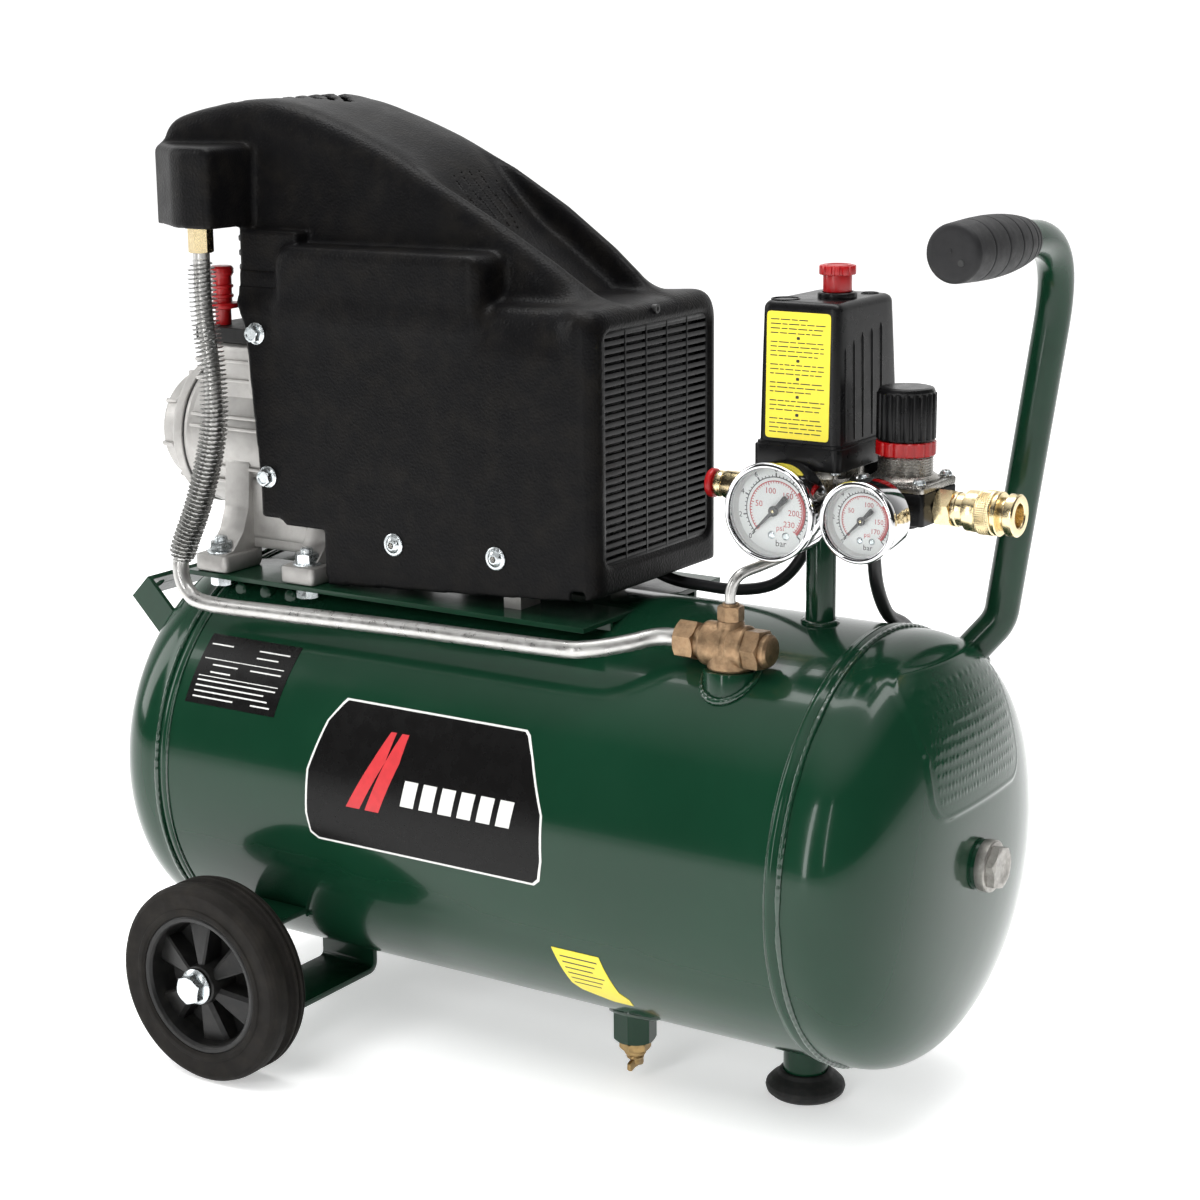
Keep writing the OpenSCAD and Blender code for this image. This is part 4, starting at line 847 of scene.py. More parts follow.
# Pump ----------------------------------------------------------------------------------------
def make_pump():
    """Crankcase, rear cover, breather, foot bolts and the CAD nodes of the pump."""
    p = Piece("crankcase_visual")
    at = SHAFT
    p.add(turned([(40.5, -262), (47, -262), (47.6, -259), (47, -256), (47, -164), (20, -164), (20, -170),
                  (40.5, -170)], at, X, 96, 0.8, 2, True), cast)
    p.add(turned([(19.9, -182), (41.5, -182), (41.5, -165), (19.9, -165)], at, X, 72, 0.5, 2, True), cast)
    p.add(rbox((-244, -38, 366), (-166, 38, 423.9), 1.2, 7, 0), cast)
    for side in (-1, 1):
        p.add(rbox((-190, side * 30, 396), (-166, side * 65.6, 423.9), 1.2, 4, 1), cast)
        p.add(rbox((-186, side * 42, 400), (-166, side * 65.6, 446), 1.2, 4, 1), cast)
        p.add(rbox((-181, side * 28, 336), (-166, side * 65.6, 361), 1.2, 4, 1), cast)
        for z, y in ((412, 38.6), (400, 38.8), (378, 45.2), (371, 46.8), (346, 45.0), (336, 40.2)):
            p.add(rbox((-256, side * (y - 6), z - 1.1),
                       (-167, side * (y + 1.4), z + 1.1), 0.7, None, 0), cast)
        for x0, x1 in ((-229, -209), (-160, -142)):
            web = fillet([(0, 352), (46, 352), (47, 338), (48.5, 322), (54, 308),
                          (64, 297.5), (74, 295.8), (74, 285.2), (37, 285.2), (37, 299),
                          (0, 303)], [0, 3, 10, 12, 12, 5, 1.5, 1.5, 4, 4, 0], 4)
            web[:, 0] *= side
            p.add(prism(web, x0, x1, axis=X, edge=0.9), cast)
        for x in (-219, -150):
            p.add(rbox((x - 13, side * 40, 285.1), (x + 13, side * 75, 296), 1.6, 4, 2), cast)
        p.add(rbox((-232, side * 24, 296.5), (-137, side * 44, 303), 1.0, 3, 2), cast)
    p.add(rbox((-226, -44, 299), (-166, 44, 342), 1.4, 6, 0), cast)
    p.make("frame", ["crankcase"], "cast_alloy")

    c = Piece("crankcase_cover_visual")
    c.add(turned([(0, -262.0), (46.6, -262.0), (46.6, -263.6), (0, -263.6)], at, X, 96, 0.3), ink_and_painted_shade)
    c.add(turned([(0, -263.2), (47.4, -263.2), (48, -264), (48, -269.5), (46.4, -271.6),
                  (39, -273.5), (36.2, -277), (35.2, -289), (33, -292), (24, -292.6), (22.5, -291),
                  (0, -291)], at, X, 96, 1.0, 3), cast)
    for k in range(8):
        a = math.radians(45 * k + 12)
        u = np.array([0, math.cos(a), math.sin(a)])
        rib = fillet([(30, -291.6), (37.0, -290.6), (37.4, -282), (46.2, -271.5), (30, -270)], 0.8, 2, True)
        c.add(prism(rib, -1.3, 1.3, at, np.cross(u, X), 0.5, 2, up=u), cast)
    c.make("frame", ["crankcase_cover"], "cast_alloy")

    b = Piece("breather_visual")
    b.add(turned([(0, 433.2), (5, 433.2), (5, 443), (10.2, 444), (10.5, 445.5), (10.2, 447), (6, 447.4),
                  (6, 450), (7, 450.6), (7, 452), (6, 452.6), (6, 456), (7, 456.6), (7, 458),
                  (6, 458.6), (6, 463), (7.5, 465.5), (7.5, 468.5), (6.2, 470), (0, 470)],
                 (-241, -28, 0), Z, 40, 0.3), red)
    b.make("frame", ["breather_plug"], "red_plastic")

    q = Piece("pump_bolts_visual")
    for x in (-219, -150):
        for y in (-64, 64):
            s = (x, y, 0)
            q.add(turned([(0, 275), (4, 275), (4, 305.5), (3.2, 306.4), (0, 306.4)], s, Z, 28, 0.2), zinc)
            q.add(turned([(4.05, 296.02), (9, 296.02), (9, 297.6), (4.05, 297.6)], s, Z,
                         40, 0.3, 2, True), zinc)
            q.add(hexed(s, Z, 7.5, 5.6, 297.6, spin=20 + x), zinc)
            q.add(hexed(s, Z, 7.5, 6.4, 275.4, both=True, spin=x), zinc)
    q.make("frame", ["pump_bolts"], "zinc")
    g = Piece("rail_studs")
    for x in (-207, -187, -167):
        g.add(turned([(0, 49), (3.0, 49), (3.0, 53.5), (4.6, 54), (4.6, 61.5), (3, 62.4), (0, 62.4)],
                     (x, 0, 273), (0, -1, 0), 28, 0.4), frame_paint)
    g.make("frame")
    for node, mat in (("cylinder_barrel", cast_dark), ("cylinder_head", cast), ("motor_body", cast),
                      ("manifold_block", nickel), ("run_capacitor", steel), ("rear_strap", frame_paint),
                      ("pump_platform", frame_paint)):
        softened(node, mat, 0.6)
    for node, mat in (("pump_bearings", steel), ("crankshaft", steel), ("motor_rotor", steel),
                      ("cooling_fan", moulded), ("connecting_rod", cast), ("piston", steel)):
        softened(node, mat, 0.3)


make_pump()


# Shroud --------------------------------------------------------------------------------------
def smax(a, b, k):
    """The larger of two distances, blended over k."""
    h = np.clip(0.5 + 0.5 * (a - b) / k, 0, 1)
    return b + (a - b) * h + k * h * (1 - h)


def smin(a, b, k):
    """The smaller of two distances, blended over k."""
    return -smax(-a, -b, k)


def step(a, b, x):
    """A smooth rise from 0 at a to 1 at b."""
    t = np.clip((x - a) / (b - a), 0, 1)
    return t * t * (3 - 2 * t)


def rounded_rect(a, b, w, h, r):
    """Distance to a rectangle of half sizes w and h, with corner radius r."""
    p, q = np.abs(a) - w + r, np.abs(b) - h + r
    return np.hypot(np.maximum(p, 0), np.maximum(q, 0)) + np.minimum(np.maximum(p, q), 0) - r


def surface_nets(d, origin, h):
    """The zero surface of a grid of distances, as points and quads."""
    inside = d < 0
    corners = [(i, j, k) for i in (0, 1) for j in (0, 1) for k in (0, 1)]
    m = [s - 1 for s in d.shape]
    count = sum(inside[i:m[0] + i, j:m[1] + j, k:m[2] + k].astype(np.int8) for i, j, k in corners)
    active = (count > 0) & (count < 8)
    cells = np.argwhere(active)
    index = np.full(active.shape, -1)
    index[active] = np.arange(len(cells))
    total, number = np.zeros((len(cells), 3)), np.zeros(len(cells))
    for a in corners:
        for axis in range(3):
            if a[axis]:
                continue
            b = tuple(a[k] + (k == axis) for k in range(3))
            va, vb = d[tuple((cells + a).T)], d[tuple((cells + b).T)]
            cut = (va < 0) != (vb < 0)
            t = (va / np.where(cut, va - vb, 1))[cut]
            total[cut] += np.array(a) + t[:, None] * (np.array(b) - np.array(a))
            number[cut] += 1
    points = origin + h * (cells + total / number[:, None])
    quads = []
    for axis in range(3):
        low = [slice(1, -1)] * 3
        low[axis] = slice(0, -1)
        high = [slice(1, -1)] * 3
        high[axis] = slice(1, None)
        cut = inside[tuple(low)] != inside[tuple(high)]
        e = np.argwhere(cut) + np.array([0 if k == axis else 1 for k in range(3)])
        p, q = [np.eye(3, dtype=int)[k] for k in range(3) if k != axis]
        around = [index[tuple((e - s).T)] for s in (0 * p, p, p + q, q)]
        quads.append(np.stack(around, 1))
    return points, np.vstack(quads)


def shroud_form(x, y, z):
    """Distance to the outer form of the shroud, and the height of its crest."""
    u = np.maximum(x + 190, 0)
    crest = 573 - 0.58 * (np.sqrt(u * u + 2500) - 50) - 0.0035 * np.minimum(x + 190, 0) ** 2
    half = np.interp(x, [-258, -190, 46], [66, 54, 36]).astype(np.float32)
    lift = np.interp(x, [-262, -250, -225, -170, -140, -100, -60, -20, 14, 30, 40],
                     [11, 6, 2, 1, 3.5, 9, 13, 13, 9, 5, 0]).astype(np.float32)
    crest = crest + lift * (0.4 + 0.6 * step(-25, 25, y))
    left = np.interp(z, [297, 320, 349, 395, 437, 455, 470, 495],
                     [-176, -180, -180, -184, -187, -194, -201, -216]).astype(np.float32)
    lean = 5 * step(432, 464, z) * step(-20, -8, x) * step(52, 36, x)
    body = smax(np.abs(y) - 70 + lean, z - (461 + 2 * np.clip((x + 14) / 78, 0, 1)), 14)
    body = smax(body, x - 64, 14)
    body = np.maximum(body, left - x)
    spine = smax(np.abs(y) - half + 0.06 * (z - 500), z - crest, 17)
    spine = smax(spine, x - 46, 12)
    spine = smax(spine, -258 - x, 12)
    spine = np.maximum(spine, np.where(x < left, 499.0 - z, 440.0 - z))
    bulge = smax(z - 489.5, -164 - x, 12)
    away = 8 * np.clip((445 - z) / 40, 0, 1)
    bulge = smax(bulge, np.abs(y) - 70 + away, 7)
    bulge = smax(bulge, x + 14, 10)
    bulge = np.maximum(bulge, 400 - z)
    panel = np.maximum(np.maximum(np.abs(y) - 67.5 + 4 * step(446, 484, z), z - 497),
                       np.maximum(left - x, x + 150))
    panel = np.maximum(panel, 400 - z)
    pod = np.full(np.broadcast(x, y, z).shape, -1e3, np.float32)
    ring = [(-258, -66), (-218, -93), (-191, -93), (-191, -40), (-258, -40)]
    for (ax, ay), (bx, by) in zip(ring, ring[1:] + ring[:1]):
        k = math.hypot(bx - ax, by - ay)
        pod = smax(pod, ((x - ax) * (by - ay) - (y - ay) * (bx - ax)) / k, 5)
    pod = np.maximum(smax(pod, z - 547, 6), 499 - z)
    d = smin(spine, body, 12)
    d = smin(d, bulge, 4)
    d = smin(d, panel, 1.5)
    d = smin(d, pod, 4)
    floor = np.maximum(crest + 3 - 25 * step(-100, -25, x), 463.6)
    valley = smax(np.abs(y) - (half - 13), floor - z, 7)
    return smax(d, -valley, 6), crest


def make_shroud():
    """The moulded shroud as a 3 mm wall with its openings, the grille and the screws."""
    h = 1.5
    axes = [np.arange(a, b, h, dtype=np.float32) for a, b in ((-264, 69), (-97.25, 75), (283, 581))]
    x, y, z = axes[0][:, None, None], axes[1][None, :, None], axes[2][None, None, :]
    d, crest = shroud_form(x, y, z)
    wall = np.maximum(d, -(d + 3))
    k = int(np.argmin(np.abs(axes[2] - 507)))
    under = np.maximum(d[:, :, k:k + 1] + 3, np.maximum(z - 506, x + 152))
    wall = np.maximum(wall, -under)
    back = np.maximum(np.maximum(x + 150, np.abs(y) - 66.0 + 4 * step(446, 484, z)), z - 486)
    wall = np.maximum(wall, -back)
    bottom = np.interp(x, [-170, -131, -130, 40, 64], [297, 297, 286.5, 297, 300])
    bottom = bottom + 5 * (np.abs(x - 52) < 5)
    wall = np.maximum(wall, bottom - z)
    window = np.maximum(np.maximum(x + 131, z - 320 - 3.5 * step(-160, -166, x)), -180 - x)
    wall = np.maximum(wall, -window)
    c, s = math.cos(math.radians(41)), math.sin(math.radians(41))
    lx, ly = (x + 206) * c - y * s, (x + 206) * s + y * c
    slot = np.abs(ly % 9.6 - 4.8) - 2.1
    louvre = np.maximum(np.maximum(slot, rounded_rect(lx, ly, 25, 38.4, 3)), crest - 13 - z)
    wall = np.maximum(wall, -louvre)
    grille = np.maximum(rounded_rect(y, z - 383, 58, 68, 9), 62 - x)
    opening = np.maximum(rounded_rect(y, z - 383, 55.5, 65.5, 6), 50 - x)
    wall = np.maximum(wall, -np.minimum(grille, opening))
    points, quads = surface_nets(wall, np.array([a[0] for a in axes]), h)
    p = Piece("shroud_visual")
    p.add((points, quads.tolist()), grained)
    p.make("frame", ["shroud"], "black_plastic", 60)
    g = Piece("shroud_grille")
    for k in range(29):
        zc = 318.5 + k * 129 / 28
        slat = fillet([(-2.6, -0.2), (0.9, -1.5), (1.3, -1.2), (1.3, 1.2), (0.9, 1.5),
                       (-2.6, 1.1)], 0.3, 2, True)
        g.add(prism(slat, -56.5, 56.5, (60.6, 0, zc), (0, -1, 0), 0, 0, up=X), moulded)
    for k in range(1, 5):
        yc = -55.5 + k * 111 / 5
        g.add(rbox((59.4, yc - 0.8, 316.5), (62.1, yc + 0.8, 449.5), 0.3, None, 2), moulded)
    # Painted shade: a black sheet just behind the slats stands for the dark inside of the shroud.
    g.add(rbox((53, -57, 316), (55.2, 57, 450), 0.4, None, 2), ink_and_painted_shade)
    for y0, y1, z0, z1 in ((-57.2, -54.6, 316, 450), (54.6, 57.2, 316, 450), (-57, 57, 315.8, 318.4),
                           (-57, 57, 447.6, 450.2)):
        g.add(rbox((59.2, y0, z0), (62.0, y1, z1), 0.4, None, 2), moulded)
    g.add(turned([(0, 61), (2.6, 61), (2.6, 64.1), (1.4, 64.1), (1.2, 63.4), (0, 63.4)],
                 (0, -2, 457.5), X, 28, 0.2), ink_and_painted_shade)
    g.make("frame", (), "black_plastic")
    s = Piece("shroud_screws_visual")
    for side in (-1, 1):
        for x, zc, spin in ((-178, 436, 10), (-173, 349, 35)):
            s.add(turned([(0, 58), (2.5, 58), (2.5, 70.5), (0, 70.5)], (x, 0, zc), (0, side, 0), 24, 0), zinc)
            flange_bolt(s, (x, side * 70.0, zc), (0, side, 0), 6.7, 5.2, 4.6, zinc, 1.2, spin)
        for x in (-78, -4):
            s.add(turned([(0, 58), (2.5, 58), (2.5, 70.5), (0, 70.5)], (x, 0, 317),
                         (0, side, 0), 24, 0), zinc)
            s.add(turned([(0, 0), (6.9, 0), (6.9, 0.7), (6.2, 1.1), (5.0, 1.2), (4.3, 2.0),
                          (2.9, 3.0), (2.0, 3.2), (1.8, 2.2), (0, 2.0)], (x, side * 70.0, 317),
                         (0, side, 0), 48, 0.35), zinc)
            for a in (20, 80, 140):
                u = np.array([math.cos(math.radians(a)), 0, math.sin(math.radians(a))])
                s.add(prism(rect(3.8, 0.7, 0.2, 2), 1.9, 3.3, (x, side * 70.0, 317), (0, side, 0),
                            0.1, 1, up=u), dull_zinc)
    s.make("frame", ["shroud_screws"], "zinc")


make_shroud()


# Air lines -----------------------------------------------------------------------------------
TUBE = [[-209, -81, 492], [-209, -81, 484], [-208, -82, 450], [-202, -84, 410], [-202, -86, 375],
        [-212, -89, 335], [-224, -92, 304], [-226, -94, 290], [-220, -95, 277], [-204, -95, 271],
        [-150, -95, 272], [-50, -95, 275], [50, -95, 277], [72, -91, 278], [90, -79, 281], [102, -69, 284],
        [112, -66, 285], [124, -66, 285]]
UNLOADER = [[150, -66, 304], [150, -66, 316], [153, -61, 324], [158, -46, 327], [161, -26, 329],
            [161, -13, 332], [161, -9, 338], [161, -9, 346]]
LEAD = [[152, 25, 369], [151, 26, 345], [143, 29, 318], [124, 33, 298], [98, 35, 290], [70, 35, 289.5],
        [50, 35, 291], [32, 34, 298], [16, 34, 310], [8, 34, 316], [0, 34, 316]]


def make_air_lines():
    """Delivery elbow, finned tube, check valve, unloader tube, motor lead and cord gland."""
    e = Piece("delivery_elbow_visual")
    e.add(turned([(0, -45), (6.5, -45), (6.5, 0), (0, 0)], (-209, -81, 514), (0, -1, 0), 36, 0.5), brass)
    e.add(hexed((-209, -81, 0), Z, 7.6, 38, 484, both=True, spin=10), brass)
    e.make("frame", ["delivery_elbow"], "brass")
    line = spline(TUBE, 10)
    t = Piece("delivery_tube_visual")
    t.add(sweep(line, 5.0, 24, X), alloy_tube)
    s = np.r_[0, np.cumsum(np.linalg.norm(np.diff(line, axis=0), axis=1))]
    start, stop, pitch, per = 12.0, 203.0, 2.7, 36
    turns = (stop - start) / pitch
    f = np.linspace(start, stop, int(turns * per))
    at, tan, u, w = frames_along(np.c_[[np.interp(f, s, line[:, k]) for k in range(3)]].T, X)
    a = (f - start) / pitch * 2 * math.pi
    out = np.cos(a)[:, None] * u + np.sin(a)[:, None] * w
    tall = np.clip((f - start) / 6, 0, 1) * np.clip((stop - f) / 6, 0, 1)
    wave = np.sin(a * 14.5)
    tip = 5 + tall * (3.35 + 0.55 * wave)
    lean = 0.35 * np.cos(a * 14.5 + 0.8)
    rows = [at + out * 4.8 - tan * 0.75, at + out * (0.45 * tip + 2.9)[:, None] - tan * 0.34,
            at + out * tip[:, None] + tan * (lean - 0.1)[:, None],
            at + out * tip[:, None] + tan * (lean + 0.1)[:, None],
            at + out * (0.45 * tip + 2.9)[:, None] + tan * 0.34, at + out * 4.8 + tan * 0.75]
    n = len(f)
    v = np.stack(rows, 1).reshape(-1, 3)
    m = len(rows)
    quads = [(i * m + j, (i + 1) * m + j, (i + 1) * m + (j + 1) % m, i * m + (j + 1) % m)
             for i in range(n - 1) for j in range(m)]
    quads += [tuple(range(m - 1, -1, -1)), tuple((n - 1) * m + j for j in range(m))]
    t.add((v, quads), fin_alloy)
    t.make("frame", ["delivery_tube"], "tube_alloy", 50)

    c = Piece("check_valve_visual")
    k = (0, -66, 285)
    c.add(hexed(k, X, 11.5, 12.6, 118.2, both=True, spin=10), bronze)
    c.add(turned([(5.2, 116.6), (7.6, 116.6), (7.6, 119), (5.2, 119)], k, X, 36, 0.4, 2, True), bronze)
    c.add(turned([(0, 129), (9.2, 129), (9.2, 134), (12.0, 134.6), (12.5, 136), (12.5, 149), (11.6, 150.2),
                  (11.6, 152.2), (12.4, 153), (12.4, 160.6), (11.4, 162), (0, 162)], k, X, 56, 0.9), bronze)
    c.add(hexed(k, X, 12.0, 10.5, 161, both=True, spin=24), bronze)
    c.add(turned([(0, 171), (9.2, 171), (9.2, 174.4), (7.8, 176), (0, 176)], k, X, 44, 0.7), bronze)
    v0 = (150, -66, 0)
    c.add(turned([(0, 262), (9, 262), (9, 272.02), (12.5, 272.02), (13.2, 274), (12.4, 279), (11.8, 288),
                  (8, 296), (7.2, 299.5), (0, 299.5)], v0, Z, 48, 1.2), bronze)
    c.add(hexed(v0, Z, 7.4, 8.4, 299.2, both=True, spin=4), bronze)
    c.add(turned([(3.1, 306.5), (5, 306.5), (4.6, 309), (3.1, 309)], v0, Z, 32, 0.4, 2, True), bronze)
    c.make("frame", ["check_valve"], "rough_brass")
    u0 = Piece("unloader_tube_visual")
    u0.add(sweep(spline(UNLOADER, 8), 3.0, 20, X), alloy_tube)
    u0.make("frame", ["unloader_tube"], "tube_alloy")
    m0 = Piece("motor_lead_visual")
    m0.add(sweep(spline(LEAD, 8), 3.5, 20, X), cable)
    m0.make("frame", ["motor_lead"], "cable")
    g = Piece("cord_gland_visual")
    at = (190, 24, 0)
    g.add(turned([(4.05, 345.2), (5.0, 345.2), (5.4, 350), (6.3, 371), (4.05, 371)], at, Z,
                 40, 0.4, 2, True), rubber)
    for i in range(5):
        z0 = 348.5 + 4.4 * i
        g.add(turned([(4.6, z0), (5.9 + 0.14 * i, z0 + 0.2), (5.9 + 0.14 * i, z0 + 1.8), (4.6, z0 + 2)], at,
                     Z, 40, 0.3, 2, True), rubber)
    g.add(hexed(at, Z, 6.8, 7.8, 371.1, both=True), moulded)
    g.make("frame", ["cord_gland"], "black_plastic")


make_air_lines()


# Switch group --------------------------------------------------------------------------------
def gear(r, depth, count, duty):
    """An outline with count ribs that stand depth above the radius, each as wide as duty of its share."""
    out = []
    for i in range(count * 8):
        a = 2 * math.pi * i / (count * 8)
        k = (i % 8) / 8
        lift = min(max((duty / 2 - abs(k - 0.5)) / 0.125 + 0.5, 0), 1)
        out.append(((r + depth * lift) * math.cos(a), (r + depth * lift) * math.sin(a)))
    return out


def make_switch():
    """Switch base and cover, knob, yellow label, relief valve and its pull."""
    b = Piece("switch_base_visual")
    b.add(rbox((144, -33, 379.05), (198, 43, 392), 1.2, 5, 2), moulded)
    b.add(rbox((145, -32, 389), (197, 42.5, 393.6), 0.8, 5, 2), moulded)
    b.add(turned([(3.7, 366), (6.2, 366), (6.2, 371), (5.8, 379.5), (3.7, 379.5)], (152, 25, 0), Z,
                 36, 0.5, 2, True), moulded)
    for x, y in ((150, -27), (192, -27), (150, 34), (192, 34)):
        b.add(turned([(0, 377.4), (3.2, 377.4), (3.2, 379.2), (0, 379.2)], (x, y, 0), Z, 24, 0.4), zinc)
    b.make("frame", ["switch_base"], "black_plastic")

    c = Piece("switch_cover_visual")
    mid = np.array([171.0, 3.5])
    rings, knob = [], np.array([178.0, 0.0])
    levels = [(0, 391.5), (0.05, 394), (0.9, 440), (1.5, 465.4)]
    levels += [(1.5 + 4 * (1 - math.cos(a)),
                465.4 + 4.6 * math.sin(a)) for a in np.linspace(0.25, math.pi / 2, 6)]
    for d, z in levels:
        grow = 4.5 * (1 - (z - 391.5) / 78.5)             # the far side leans out towards the base
        q = rect(50 - 2 * d, 69 - 2 * d + grow, max(5.5 - d * 0.3, 3.5), 5, mid + (0, grow / 2))
        q = divided(q, len(q) // 4, 9)
        rings.append(np.c_[q, np.full(len(q), z)])
    angle = np.arctan2(rings[-1][:, 1] - knob[1], rings[-1][:, 0] - knob[0])
    for r, z in ((8.7, 469.95), (8.5, 469.6), (8.5, 446), (0.01, 446)):
        rings.append(np.c_[knob[0] + r * np.cos(angle), knob[1] + r * np.sin(angle), np.full(len(angle), z)])
    c.add(skin(rings), moulded)
    c.add(turned([(8.5, 468.5), (10.8, 468.5), (10.8, 472.6), (10.2, 473.2), (8.5, 473.2)], (178, 0, 0), Z,
                 48, 0.4, 2, True), moulded)
    c.add(turned([(7.2, 469), (8.0, 469), (8.0, 470.5), (7.2, 470.5)], (156.5, -19, 0), Z, 40,
                 0.25, 2, True), moulded)
    c.add(turned([(4.4, 469), (5.0, 469), (5.0, 470.5), (4.4, 470.5)], (184, 27, 0), Z,
                 32, 0.2, 2, True), moulded)
    for y, top in ((-22, 446), (-12, 449), (-2, 452), (9, 453), (20, 455)):
        path = [(195.2, y, 395), (194.9, y, (395 + top) / 2), (194.5, y, top - 3), (193.9, y, top)]
        c.add(sweep(path, 1.15, 10, Y), moulded)
    c.make("frame", ["switch_cover"], "black_plastic")

    s = Piece("switch_sticker")
    lean = math.atan2(1.5, 70)
    at = np.array([170.6, -31.0, 395.0])
    n = np.array([0, -math.cos(lean), math.sin(lean)])       # out of the -Y face
    s.add(prism(rect(39, 69, 2.4, 4, (0, 35)), 0, 0.35, at, n, 0.1, 1, up=X), yellow)
    g = np.random.default_rng(4)
    for k in range(26):
        z = 4 + 2.45 * k
        if k in (4, 8, 12, 16, 21):
            s.add(prism(rect(2.0, 1.6, 0.5, 2, (0, z)), 0.1, 0.42, at, n, 0, 0, up=X), ink_and_painted_shade)
            continue
        left, right = -17.0, 17.0 - (g.uniform(0, 10) if k % 4 == 1 else g.uniform(0, 2))
        while left < right - 1:
            wide = min(g.uniform(2.0, 6.5), right - left)
            s.add(prism(rect(wide, 0.55, 0, 2, (left + wide / 2, z)), 0.1, 0.42, at, n, 0, 0, up=X), ink_and_painted_shade)
            left += wide + 0.9
    s.make("frame", (), None, 30)

    k = Piece("switch_knob_visual")
    k.add(turned([(0, 460), (6, 460), (6, 473), (7.9, 473.4), (7.9, 484), (0, 484)],
                 (178, 0, 0), Z, 48, 0.5), red)
    k.add(prism(gear(9.2, 0.9, 14, 0.62), 482.6, 487.6, (178, 0, 0), Z, 0.5), red)
    k.add(turned([(5.6, 486), (8.4, 486), (8.4, 488), (5.6, 488)], (178, 0, 0), Z, 48, 0.4, 2, True), red)
    k.make("switch_knob", ["switch_knob"], "red_plastic")

    r = Piece("relief_valve_visual")
    at = (0, 0, PIPE_Z)
    r.add(turned([(2.1, 103), (7.0, 103), (7.6, 104), (7.6, 106), (6.9, 107), (6.9, 108), (8, 109), (8, 150),
                  (2.1, 150)], at, X, 48, 0.4, 2, True), brass)
    r.add(hexed(at, X, 8.9, 8, 148.5, both=True), brass)
    r.make("frame", ["relief_valve"], "brass")
    q = Piece("relief_pull_visual")
    q.add(turned([(0, 98), (7.6, 98), (8.4, 98.8), (8.4, 101.2), (7.6, 102), (2, 102.2), (2, 124),
                  (0, 124)], at, X, 44, 0.4), red)
    q.make("relief_pull", ["relief_pull"], "red_plastic")


def tick(piece, x, r0, r1, angle, width, y, mat):
    """A mark on a dial; the angle runs clockwise from straight down, as the viewer at -Y sees it."""
    a = math.radians(angle)
    d = np.array([-math.sin(a), 0, -math.cos(a)])
    n = np.array([-d[2], 0, d[0]]) * width / 2
    c = np.array([x, 0, 360.0])
    flat = [c + d * r0 - n, c + d * r1 - n, c + d * r1 + n, c + d * r0 + n]
    piece.add(skin([np.array([[q[0], y, q[2]] for q in flat]),
                    np.array([[q[0], y - 0.06, q[2]] for q in flat])]), mat)


def dial_arc(piece, x, r0, r1, a0, a1, y, mat):
    """A thin arc on a dial, between two angles from straight down."""
    t = np.radians(np.linspace(a0, a1, max(int((a1 - a0) / 4), 2)))
    rows = []
    for s in t:
        d = np.array([-math.sin(s), 0, -math.cos(s)])
        rows.append(np.array([[x + d[0] * r, yy, PIPE_Z + d[2] * r] for r, yy in
                              ((r0, y), (r1, y), (r1, y - 0.05), (r0, y - 0.05))]))
    piece.add(skin(rows), mat)


